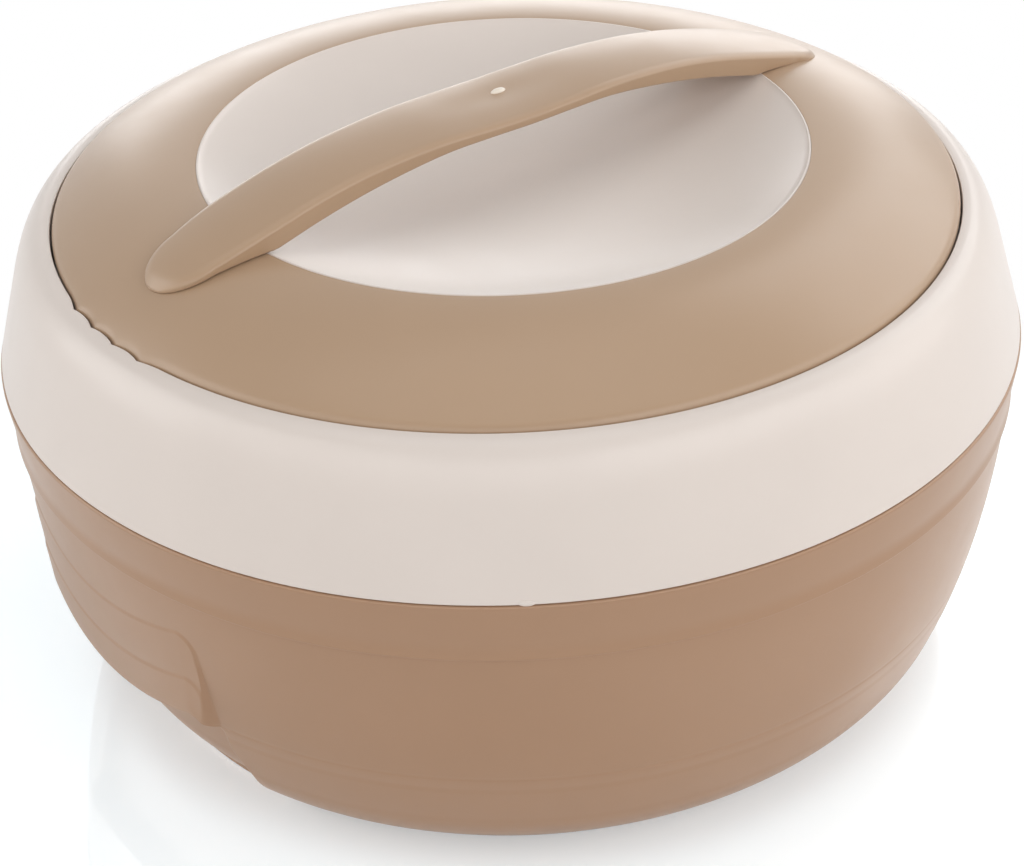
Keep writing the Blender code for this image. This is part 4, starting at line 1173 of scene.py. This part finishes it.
def cover_outline(body, lid):
    """The cover's plain outline, and the points that the scallops draw out."""
    start, bend, end = dome_curve(body, lid)
    dome = bezier(start, bend, end, DOME_STEPS)
    radius = body.radius - lid.inset
    slope = (dome[-2][1] - dome[-1][1]) / (dome[-1][0] - dome[-2][0])
    edge_foot = end[1] - lid.edge_depth
    skirt = radius - lid.skirt_inset
    ledge = body.joint_height + body.collar_rise - body.ledge_drop
    skirt_inner = skirt - SHELL_WALL
    liner_top = ledge + lid.liner_rise + LINER_WALL + FIT_GAP
    under = inset(bezier(start, bend, end, DOME_BACK_STEPS), SHELL_WALL)
    shelf = skirt_inner - SKIRT_SHELF
    ceiling = [point for point in under if start[0] + SHELL_WALL < point[0] < shelf - SOFT]
    lip_foot = (start[0], start[1] - lid.inner_lip)
    inner_top = rounded([dome[1], (*start, lid.inner_round), lip_foot], closed=False)
    top = [*inner_top[1:-1][::-1], *dome[2:-1]]
    brow = (radius - EDGE_DRAFT, end[1] - lid.edge_round * slope)
    turned = (radius, brow[1] - lid.edge_round)
    edge = bezier(end, brow, turned, ROUND_STEPS)
    edge += rounded(
        [
            turned,
            (radius, edge_foot, FINE),
            (skirt, edge_foot - lid.skirt_inset, FINE),
            (skirt, ledge + lid.skirt_lift, CRISP),
            (skirt_inner, ledge + lid.skirt_lift),
        ],
        closed=False,
    )[1:-1]
    plain = [*top, *edge]
    first = len(top)
    drawn = {first + index: (1, 1) for index in range(ROUND_STEPS + 1)}
    drawn.update({first + ROUND_STEPS + 1 + index: (1, 0) for index in range(ROUND_STEPS + 1)})
    drawn[first + 2 * ROUND_STEPS + 1] = (0.5, 0)
    plain += [
        (skirt_inner, ledge + lid.skirt_lift),
        (skirt_inner, liner_top),
        (shelf, liner_top),
        *ceiling[::-1],
        (start[0] + SHELL_WALL, start[1] - SHELL_WALL),
        (start[0] + SHELL_WALL, lip_foot[1]),
        lip_foot,
    ]
    return plain, drawn, slope


def collar_outline(body, lid):
    """The collar's plain outline, and the points that the pockets draw out."""
    top = body.joint_height + body.collar_rise
    lip = body.radius - lid.inset + lid.gap
    ledge = top - body.ledge_drop
    mouth = body.radius - body.mouth_inset
    rebate = mouth + body.flange_width + FIT_GAP
    tongue = body.radius - body.rim_inset - SHELL_WALL - 2 * FIT_GAP
    foot = body.joint_height - body.tongue_depth
    side = collar_side(body)
    well = lip + SHELL_WALL
    under = ledge - STEEL_WALL - FIT_GAP
    tongue_back = tongue - SHELL_WALL
    back = inset(side[::COLLAR_BACK_SHARE], SHELL_WALL)
    back = [point for point in back if well < point[0] < tongue_back]
    inner_lip = rounded(
        [(lip, top - body.pocket_depth), (lip, top, FINE), side[0]], closed=False
    )[1:-1]
    outer = rounded(
        [
            side[-2],
            (body.radius - body.collar_inset, body.joint_height, CRISP),
            (tongue, body.joint_height),
            (tongue, foot, FIRM),
            (tongue_back, foot),
        ],
        closed=False,
    )[1:]
    plain = [
        *inner_lip,
        *side[:-1],
        *outer,
        *back[::-1],
        (well, under - SHELL_WALL),
        (mouth + STEEL_WALL + FIT_GAP, under - SHELL_WALL),
        (mouth + STEEL_WALL + FIT_GAP, under),
        (rebate, under),
        (rebate, ledge - CRISP),
        (rebate + CRISP, ledge),
        (lip, ledge),
        (lip, top - body.pocket_depth - 2 * WELD),
        (lip, top - body.pocket_depth),
    ]
    drawn = {index: (1, 0) for index in range(len(inner_lip))}
    drawn[len(plain) - 1] = (1, 0)
    return plain, drawn


def strap_stations():
    """Shares of the strap's half length, close together at its round tip."""
    stations = [STRAP_TIP_SHARE * step / STRAP_STEPS for step in range(STRAP_STEPS)]
    for step in range(STRAP_TIP_STEPS + 1):
        tip = math.sin(math.pi / 2 * step / STRAP_TIP_STEPS)
        stations.append(STRAP_TIP_SHARE + (1 - STRAP_TIP_SHARE) * tip)
    return stations


def strap_plan(body, lid, strap, along):
    """The station and the half width of the strap, seen from above."""
    width = smooth_shares(STRAP_SHARES, along)[0]
    if along > STRAP_TIP_SHARE:
        tip = (along - STRAP_TIP_SHARE) / (1 - STRAP_TIP_SHARE)
        broad = smooth_shares(STRAP_SHARES, STRAP_TIP_SHARE)[0]
        width = broad * math.sqrt(max(1 - tip * tip, TIP_LEAST))
    return (body.radius - lid.inset - strap.end_inset) * along, strap.half_width * width


def to_outline(outline, place):
    """The distance from a place to an outline of straight pieces."""
    nearest = math.inf
    for start, end in zip(outline, outline[1:]):
        run = (end[0] - start[0], end[1] - start[1])
        reach = run[0] ** 2 + run[1] ** 2
        share = ((place[0] - start[0]) * run[0] + (place[1] - start[1]) * run[1]) / reach
        share = min(max(share, 0), 1)
        foot = (start[0] + run[0] * share, start[1] + run[1] * share)
        nearest = min(nearest, math.dist(foot, place))
    return nearest


def strap_section(body, lid, strap, along, outline):
    """Points round the strap at a station, from its crown down one side and up the other."""
    _, drop, side, crown, belly = smooth_shares(STRAP_SHARES, along)
    station, half = strap_plan(body, lid, strap, along)
    height = dome_curve(body, lid)[0][1] + strap.rise
    edge = height - strap.end_drop * drop
    sink = strap.sink_depth * math.exp(-((station / strap.sink_length) ** 2))
    crown_height = strap.crown * crown
    foot = edge - strap.side * side

    def seat(across, level):
        return max(level, dome_height(body, lid, math.hypot(station, across)) + FIT_GAP)

    low_edge = seat(half, foot)
    low_middle = seat(0.0, foot - strap.belly * belly)
    fall = min(strap.shoulder_fall, (edge - low_edge) * SHOULDER_MOST)
    shoulder = min(strap.shoulder_width, half)
    flat = (half - shoulder) / STRAP_TOP_STEPS
    across_places = [flat * step for step in range(STRAP_TOP_STEPS)]
    for step in range(SHOULDER_STEPS + 1):
        bow = math.pi / 2 * step / SHOULDER_STEPS
        across_places.append(half - shoulder * (1 - math.sin(bow)))
    right = []
    for across in across_places:
        inward = min(to_outline(outline, (station, across)) / strap.shoulder_width, 1)
        level = edge + crown_height * (1 - (across / half) ** 2)
        level -= fall * (1 - math.sqrt(1 - (1 - inward) ** 2))
        right.append((across, level - sink * math.exp(-((across / strap.sink_width) ** 2))))
    rounding = min(strap.edge_round, (edge - fall - low_edge) * MOST_ROUNDING)
    right += rounded(
        [(half, edge - fall), (half, low_edge, rounding), (0.0, low_middle)], closed=False
    )[1:]
    points = [(station, across, level) for across, level in right]
    return points + [(x, -y, z) for x, y, z in reversed(points[1:-1])]


def strap_mesh(body, lid, strap):
    stations = strap_stations()
    outline = [strap_plan(body, lid, strap, along) for along in stations]
    outline = [(-x, y) for x, y in reversed(outline[1:])] + outline
    tip = outline[-1]
    outline = [(-tip[0], -tip[1]), *outline, (tip[0], -tip[1])]
    half = [strap_section(body, lid, strap, along, outline) for along in stations]
    whole = [[(-x, y, z) for x, y, z in section] for section in reversed(half[1:])] + half
    bm = bmesh.new()
    loops = [[bm.verts.new(point) for point in section] for section in whole]
    for near, far in zip(loops, loops[1:]):
        for index in range(len(near)):
            after = (index + 1) % len(near)
            bm.faces.new((near[index], near[after], far[after], far[index]))
    bm.faces.new(loops[0])
    bm.faces.new(loops[-1])
    return mesh_of("strap", bm)


# Operators


def sizes():
    scene = bpy.context.scene
    return scene.container_body, scene.container_lid, scene.container_strap


class CONTAINER_OT_base(bpy.types.Operator):
    """Moulds the base shell with its band, side grips, finger recesses and foot ring."""

    bl_idname = "container.base"
    bl_label = "Base shell"

    def execute(self, context):
        body, _, _ = sizes()
        mesh = ring_mesh("base", grip_azimuths(body), lambda azimuth: base_outline(body, azimuth))
        finish = finish_named("base_polypropylene")
        add_piece("base", mesh, finish, "container", "tan_plastic", "base_shell")
        return {"FINISHED"}


class CONTAINER_OT_filler_plug(bpy.types.Operator):
    """Presses the filler plug into the floor."""

    bl_idname = "container.filler_plug"
    bl_label = "Filler plug"

    def execute(self, context):
        body, _, _ = sizes()
        low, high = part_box("filler_plug")
        stem = body.filling_radius - FIT_GAP
        head = body.foot_height - FIT_GAP
        corners = [
            (0.0, low.z + PLUG_DIMPLE_DEPTH),
            (PLUG_DIMPLE, low.z + PLUG_DIMPLE_DEPTH, EASED),
            (PLUG_DIMPLE + PLUG_DIMPLE_SLOPE, low.z, FINE),
            (high.x, low.z, PLUG_HEAD_ROUND),
            (high.x, head, FINE),
            (stem, head),
            (stem, high.z, EASED),
            (stem - SHELL_WALL, high.z),
            (stem - SHELL_WALL, head),
            (0.0, head),
        ]
        mesh = turned_mesh("bung", corners, SMALL_TURN_STEPS)
        finish = finish_named("base_polypropylene")
        add_piece("bung", mesh, finish, "container", "tan_plastic", "filler_plug")
        return {"FINISHED"}


class CONTAINER_OT_collar(bpy.types.Operator):
    """Moulds the collar with the pockets for the lid's scallops."""

    bl_idname = "container.collar"
    bl_label = "Collar"

    def execute(self, context):
        body, lid, _ = sizes()
        finish = finish_named("cream_polypropylene")
        plain, drawn = collar_outline(body, lid)
        mesh = fluted_ring("collar", scallop_azimuths(lid), plain, drawn, 0.0, lid, finish)
        add_piece("collar", mesh, finish, "container", "cream_plastic", "collar_ring")
        out = body.radius - body.collar_inset - body.nub_height / 2
        edge = (out, 0, body.joint_height + body.nub_width / 2)
        place = Matrix.Rotation(body.nub_azimuth, 4, "Z") @ Matrix.Translation(edge)
        nub = nub_mesh("collar_gate", body.nub_height, body.nub_length, body.nub_width, place)
        add_piece("collar_gate", nub, finish, "container", "cream_plastic")
        return {"FINISHED"}


class CONTAINER_OT_bowl(bpy.types.Operator):
    """Spins the steel food bowl."""

    bl_idname = "container.bowl"
    bl_label = "Food bowl"

    def execute(self, context):
        body, _, _ = sizes()
        ledge = body.joint_height + body.collar_rise - body.ledge_drop
        mouth = body.radius - body.mouth_inset
        flange = mouth + body.flange_width
        side = bowl_side(body)
        floor = body.bowl_floor
        corners = [
            (0.0, floor),
            *side[::-1],
            (mouth, ledge, body.flange_round),
            (flange, ledge, FINE),
            (flange, ledge - STEEL_WALL, KEEN),
            (mouth + STEEL_WALL, ledge - STEEL_WALL, body.flange_round),
            *inset(side, -STEEL_WALL),
            (0.0, floor - STEEL_WALL),
        ]
        add_piece(
            "bowl",
            turned_mesh("bowl", corners),
            finish_named("spun_stainless_steel"),
            "container",
            "stainless_steel",
            "inner_bowl",
        )
        return {"FINISHED"}


class CONTAINER_OT_cover(bpy.types.Operator):
    """Moulds the lid's cover with its scalloped edge."""

    bl_idname = "container.cover"
    bl_label = "Lid cover"

    def execute(self, context):
        body, lid, _ = sizes()
        finish = finish_named("tan_polypropylene")
        plain, drawn, slope = cover_outline(body, lid)
        azimuths = scallop_azimuths(lid)
        mesh = fluted_ring("cover", azimuths, plain, drawn, slope, lid, finish, lid.back_lift)
        add_piece("cover", mesh, finish, "lid", "tan_plastic", "lid_cover")
        return {"FINISHED"}


class CONTAINER_OT_dish(bpy.types.Operator):
    """Moulds the dish in the middle of the lid."""

    bl_idname = "container.dish"
    bl_label = "Lid dish"

    def execute(self, context):
        body, lid, _ = sizes()
        rim, bend, middle = dish_curve(body, lid)
        hollow = bezier(rim, bend, middle, DISH_STEPS)
        edge = rim[0] + lid.dish_rim + DISH_CLOSING * FIT_GAP
        top = rim[1] + lid.dish_rim / 2
        flange_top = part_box("lid_dish")[1].z - lid.dish_proud - lid.inner_lip - FIT_GAP
        flange_foot = flange_top - LINER_WALL
        back = [point for point in inset(hollow, -LINER_WALL) if point[1] < flange_foot]
        corners = [
            *hollow[::-1],
            (rim[0] + lid.dish_rim / 3, top),
            (edge, top, HAIR),
            (edge, flange_top),
            (edge + lid.dish_flange, flange_top),
            (edge + lid.dish_flange, flange_foot),
            *back[:-1],
            (0.0, middle[1] - LINER_WALL),
        ]
        add_piece(
            "dish",
            turned_mesh("dish", corners),
            finish_named("cream_polypropylene"),
            "lid",
            "cream_plastic",
            "lid_dish",
        )
        return {"FINISHED"}


class CONTAINER_OT_strap(bpy.types.Operator):
    """Moulds the strap handle with the gate mark in its middle."""

    bl_idname = "container.strap"
    bl_label = "Strap handle"

    def execute(self, context):
        body, lid, strap = sizes()
        finish = finish_named("tan_polypropylene")
        mesh = strap_mesh(body, lid, strap)
        add_piece("strap", mesh, finish, "lid", "tan_plastic", "lid_handle")
        top = dome_curve(body, lid)[0][1] + strap.rise + strap.crown - strap.sink_depth
        place = Matrix.Translation((*GATE_PLACE, top))
        nub = nub_mesh("gate_mark", strap.gate_length, strap.gate_width, strap.gate_height, place)
        # The gate mark's lighter plastic is a painted highlight
        whitened = finish_named("stress_whitened_polypropylene")
        add_piece("gate_mark", nub, whitened, "lid", "tan_plastic")
        return {"FINISHED"}


class CONTAINER_OT_liner(bpy.types.Operator):
    """Moulds the lid's under side, with the plug that enters the bowl's mouth."""

    bl_idname = "container.liner"
    bl_label = "Lid liner"

    def execute(self, context):
        body, lid, _ = sizes()
        low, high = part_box("lid_liner")
        plug = body.radius - body.mouth_inset - PLUG_GAP
        inner = plug - LINER_WALL
        panel = plug - LINER_PANEL_INSET
        flange = low.z + lid.liner_plug
        corners = [
            (0.0, low.z + LINER_WALL),
            (inner - lid.liner_round, low.z + LINER_WALL),
            (inner, low.z + LINER_WALL + lid.liner_round / 2, SOFT),
            (inner, high.z),
            (high.x, high.z, CRISP),
            (high.x, flange, CRISP),
            (plug, flange, CRISP),
            (plug, low.z, lid.liner_round),
            (panel, low.z, EASED),
            (panel - LINER_PANEL_SLOPE, low.z + LINER_PANEL_DEPTH, EASED),
            (0.0, low.z + LINER_PANEL_DEPTH),
        ]
        add_piece(
            "liner",
            turned_mesh("liner", corners),
            finish_named("cream_polypropylene"),
            "lid",
            "cream_plastic",
            "lid_liner",
        )
        return {"FINISHED"}


class CONTAINER_OT_gasket(bpy.types.Operator):
    """Fits the silicone gasket round the lid's plug."""

    bl_idname = "container.gasket"
    bl_label = "Gasket"

    def execute(self, context):
        body, lid, _ = sizes()
        low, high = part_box("lid_gasket")
        inner = body.radius - body.mouth_inset - PLUG_GAP + FIT_GAP
        foot = high.z - lid.gasket_body
        lip = high.x - lid.gasket_lip_inset
        corners = [
            (inner, high.z, KEEN),
            (high.x, high.z, EASED),
            (high.x, foot, EASED),
            (lip + lid.gasket_lip / 2, foot, EASED),
            (lip, low.z, FIRM),
            (lip - lid.gasket_lip / 2, foot, EASED),
            (inner, foot, KEEN),
        ]
        add_piece(
            "gasket",
            turned_mesh("gasket", corners),
            finish_named("milky_silicone"),
            "lid",
            "clear_silicone",
            "lid_gasket",
        )
        return {"FINISHED"}


class CONTAINER_OT_screws(bpy.types.Operator):
    """Sets the screws that hold the strap."""

    bl_idname = "container.screws"
    bl_label = "Handle screws"

    def execute(self, context):
        _, _, strap = sizes()
        low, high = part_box("handle_screw_rear")
        station = (low.x + high.x) / 2
        seat = low.z + strap.head_height
        corners = [
            (0.0, high.z),
            (strap.screw_radius * SCREW_TIP, high.z),
            (strap.screw_radius, high.z - strap.screw_radius),
            (strap.screw_radius, seat),
            (strap.screw_head, seat, KEEN),
            (strap.screw_head, low.z + strap.head_height / 2),
            *((strap.screw_head * share, low.z + rise) for share, rise in SCREW_DOME),
            (SCREW_DRIVE[0][0], low.z, KEEN),
            *((radius, low.z + rise) for radius, rise in SCREW_DRIVE[1:]),
        ]
        screw = turned_mesh("screw", corners, SMALL_TURN_STEPS)
        finish = finish_named("zinc_plated_steel")
        values = {"Count": 2, "Start": -station, "Step": 2 * station, "Material": finish}
        mesh = baked("screws", screw, repeat_tree(), values)
        add_piece(
            "screws", mesh, finish, "lid", "zinc_steel", "handle_screw_front", "handle_screw_rear"
        )
        return {"FINISHED"}


class CONTAINER_OT_fillings(bpy.types.Operator):
    """Gives the foam in the body and in the lid its finish."""

    bl_idname = "container.fillings"
    bl_label = "Foam fillings"

    def execute(self, context):
        finish = finish_named("rigid_polyurethane_foam")
        for name in ("body_insulation", "lid_insulation"):
            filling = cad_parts[name]
            filling.data.materials.clear()
            filling.data.materials.append(finish)
        return {"FINISHED"}


# Studio

AMBIENT_STRENGTH = 0.02
LAMP_AIM = (0.0, 0.0, 0.08)
# Level directions, as the camera sees them
TO_THE_RIGHT = Vector((0.806, -0.591, 0.0))
TO_THE_BACK = Vector((0.574, 0.819, 0.0))
# Softboxes: metres to the right, to the back and up, sizes in metres, and watts
LAMPS = (
    ("top_softbox", (0.0, 0.0, 1.5), (1.2, 1.2), 3.6),
    ("back_softbox", (0.0, 1.3, 0.28), (1.2, 0.5), 4.2),
    ("back_right_softbox", (0.85, 0.85, 0.9), (1.0, 1.0), 7.2),
    ("left_softbox", (-1.2, 0.0, 0.6), (1.0, 1.0), 6.9),
    ("right_softbox", (1.2, 0.0, 0.6), (1.0, 1.0), 5.2),
    ("front_left_softbox", (-0.85, -0.85, 0.8), (1.0, 1.0), 3.4),
    ("front_softbox", (0.0, -1.4, 0.7), (1.4, 0.9), 5.6),
    ("front_right_softbox", (0.85, -0.85, 0.8), (1.0, 1.0), 6.2),
)
CAMERA_PLACE = (-0.33463, -0.47682, 0.42967)
CAMERA_AIM = (0.48112, 0.68712, -0.54442)
CAMERA_ROLL = math.radians(-2.273)
CAMERA_LENS, CAMERA_SENSOR = 88.18, 36.0
CAMERA_NEAR = 0.01
FLOOR_SIZE = 6.0
FLOOR_DROP = 0.2 * MM
# A glow that only the camera sees lifts the floor towards white. It is weaker by the foot, so the
# contact shadow there is partly painted shade, and it is tinted cool to offset the warm light the
# tan body throws on the floor
FLOOR_LIFT = (0.84, 1.02, 1.12, 1.0)
LIFT_START, LIFT_END = 0.110, 0.129
LIFT_NEAR, LIFT_FAR = 0.26, 0.39
# Radii between which the floor runs out into white
FADE_START, FADE_END = 0.155, 0.22


def add_lamp(name, place, aim, size, power):
    lamp = bpy.data.lights.new(name, "AREA")
    lamp.shape = "RECTANGLE"
    lamp.size, lamp.size_y = size
    lamp.energy = power
    holder = bpy.data.objects.new(name, lamp)
    bpy.context.scene.collection.objects.link(holder)
    holder.location = place
    holder.rotation_euler = (Vector(aim) - Vector(place)).to_track_quat("-Z", "Y").to_euler()


def studio_world():
    """White all round for the camera and in reflections, softer as a light."""
    world = bpy.data.worlds.new("studio")
    bpy.context.scene.world = world
    world.use_nodes = True
    tree = world.node_tree
    rays = tree.nodes.new("ShaderNodeLightPath").outputs
    seen = rays["Is Camera Ray"]
    for kind in ("Is Glossy Ray", "Is Transmission Ray"):
        seen = add_node(tree, "ShaderNodeMath", {"operation": "MAXIMUM"}, seen, rays[kind])
    ambient = tree.nodes["Background"]
    ambient.inputs["Color"].default_value = WHITE
    ambient.inputs["Strength"].default_value = AMBIENT_STRENGTH
    white = add_node(tree, "ShaderNodeBackground", Color=WHITE, Strength=1.0)
    mixed = add_node(tree, "ShaderNodeMixShader", None, seen, ambient, white)
    tree.links.new(mixed.outputs["Shader"], tree.nodes["World Output"].inputs["Surface"])


def floor_finish():
    """Polished white acrylic.

    It keeps a soft shadow and a faint mirror image near the object, and runs out into the
    white of the studio further off. A glow that only the camera sees whitens it, weaker by the
    foot, so the shadow there is partly painted.
    """
    finish, tree, shader, place = new_finish("polished_white_acrylic")
    scuffs = add_node(
        tree,
        "ShaderNodeTexNoise",
        Vector=place,
        Scale=per_metre(FLOOR_SCUFF),
        Detail=3.0,
        Roughness=0.5,
    )
    colour = tuple(bpy.context.scene.container_finish.floor)
    tint_by(tree, shader, scuffs, colour, 0.995, 1.0)
    shader.inputs["IOR"].default_value = 2.3
    shader.inputs["Roughness"].default_value = 0.04
    rays = tree.nodes.new("ShaderNodeLightPath").outputs
    away = add_node(tree, "ShaderNodeVectorMath", {"operation": "LENGTH"}, place)
    fade, glow_less_in_painted_shadow = (
        add_node(
            tree,
            "ShaderNodeMapRange",
            {"interpolation_type": "SMOOTHSTEP"},
            Value=away.outputs["Value"],
            From_Min=start,
            From_Max=end,
            To_Min=low,
            To_Max=high,
        )
        for start, end, low, high in (
            (FADE_START, FADE_END, 0.0, 1.0),
            (LIFT_START, LIFT_END, LIFT_NEAR, LIFT_FAR),
        )
    )
    camera, glossy = rays["Is Camera Ray"], rays["Is Glossy Ray"]
    seen = add_node(tree, "ShaderNodeMath", {"operation": "MAXIMUM"}, camera, glossy)
    # Painted shade: the camera-only glow is weaker by the foot, which darkens the floor there
    strength = add_node(tree, "ShaderNodeMath", {"operation": "MULTIPLY"}, camera, glow_less_in_painted_shadow)
    lift = add_node(tree, "ShaderNodeEmission", Color=FLOOR_LIFT, Strength=strength)
    lifted = add_node(tree, "ShaderNodeAddShader", None, shader, lift)
    white = add_node(tree, "ShaderNodeEmission", Color=WHITE, Strength=1.0)
    share = add_node(tree, "ShaderNodeMath", {"operation": "MULTIPLY"}, seen, fade)
    mixed = add_node(tree, "ShaderNodeMixShader", None, share, lifted, white)
    tree.links.new(mixed.outputs["Shader"], tree.nodes["Material Output"].inputs["Surface"])
    return finish


class CONTAINER_OT_studio(bpy.types.Operator):
    """Sets the floor, the soft lamps and the camera."""

    bl_idname = "container.studio"
    bl_label = "Studio"

    def execute(self, context):
        scene = context.scene
        studio_world()
        half = FLOOR_SIZE / 2
        mesh = bpy.data.meshes.new("floor")
        corners = [(-half, -half, 0), (half, -half, 0), (half, half, 0), (-half, half, 0)]
        mesh.from_pydata(corners, [], [(0, 1, 2, 3)])
        mesh.materials.append(floor_finish())
        floor = bpy.data.objects.new("floor", mesh)
        floor.location.z = -FLOOR_DROP
        scene.collection.objects.link(floor)
        for name, (right, back, height), size, power in LAMPS:
            place = TO_THE_RIGHT * right + TO_THE_BACK * back + Vector((0.0, 0.0, height))
            add_lamp(name, place, LAMP_AIM, size, power)
        camera = bpy.data.cameras.new("camera")
        camera.lens = CAMERA_LENS
        camera.sensor_width = CAMERA_SENSOR
        camera.clip_start = CAMERA_NEAR
        holder = bpy.data.objects.new("camera", camera)
        scene.collection.objects.link(holder)
        level = Vector(CAMERA_AIM).to_track_quat("-Z", "Y").to_matrix()
        rolled = level @ Matrix.Rotation(CAMERA_ROLL, 3, "Z")
        holder.matrix_world = Matrix.Translation(CAMERA_PLACE) @ rolled.to_4x4()
        scene.camera = holder
        scene.view_settings.view_transform = "Standard"
        return {"FINISHED"}


OPERATORS = (
    CONTAINER_OT_base,
    CONTAINER_OT_filler_plug,
    CONTAINER_OT_collar,
    CONTAINER_OT_bowl,
    CONTAINER_OT_cover,
    CONTAINER_OT_dish,
    CONTAINER_OT_strap,
    CONTAINER_OT_liner,
    CONTAINER_OT_gasket,
    CONTAINER_OT_screws,
    CONTAINER_OT_fillings,
    CONTAINER_OT_studio,
)
GROUPS = {
    "container_body": ContainerBodySizes,
    "container_lid": ContainerLidSizes,
    "container_strap": ContainerStrapSizes,
    "container_finish": ContainerFinish,
}


class CONTAINER_PT_panel(bpy.types.Panel):
    """Lists the sizes, the colours and the pieces of the container."""

    bl_idname = "CONTAINER_PT_panel"
    bl_label = "Insulated Food Container"
    bl_space_type = "VIEW_3D"
    bl_region_type = "UI"
    bl_category = "Container"

    def draw(self, context):
        for operator in OPERATORS:
            self.layout.operator(operator.bl_idname)
        for name, group in GROUPS.items():
            box = self.layout.box()
            for key in group.__annotations__:
                box.prop(getattr(context.scene, name), key)


def register():
    for group in GROUPS.values():
        bpy.utils.register_class(group)
    for name, group in GROUPS.items():
        setattr(bpy.types.Scene, name, bpy.props.PointerProperty(type=group))
    for operator in OPERATORS:
        bpy.utils.register_class(operator)
    bpy.utils.register_class(CONTAINER_PT_panel)


def unregister():
    bpy.utils.unregister_class(CONTAINER_PT_panel)
    for operator in reversed(OPERATORS):
        bpy.utils.unregister_class(operator)
    for name in GROUPS:
        delattr(bpy.types.Scene, name)
    for group in reversed(GROUPS.values()):
        bpy.utils.unregister_class(group)


def main():
    register()
    bpy.ops.container.base()
    bpy.ops.container.filler_plug()
    bpy.ops.container.collar()
    bpy.ops.container.bowl()
    bpy.ops.container.cover()
    bpy.ops.container.dish()
    bpy.ops.container.strap()
    bpy.ops.container.liner()
    bpy.ops.container.gasket()
    bpy.ops.container.screws()
    bpy.ops.container.fillings()
    bpy.ops.container.studio()
    bpy.context.view_layer.update()


if __name__ == "__main__":
    main()
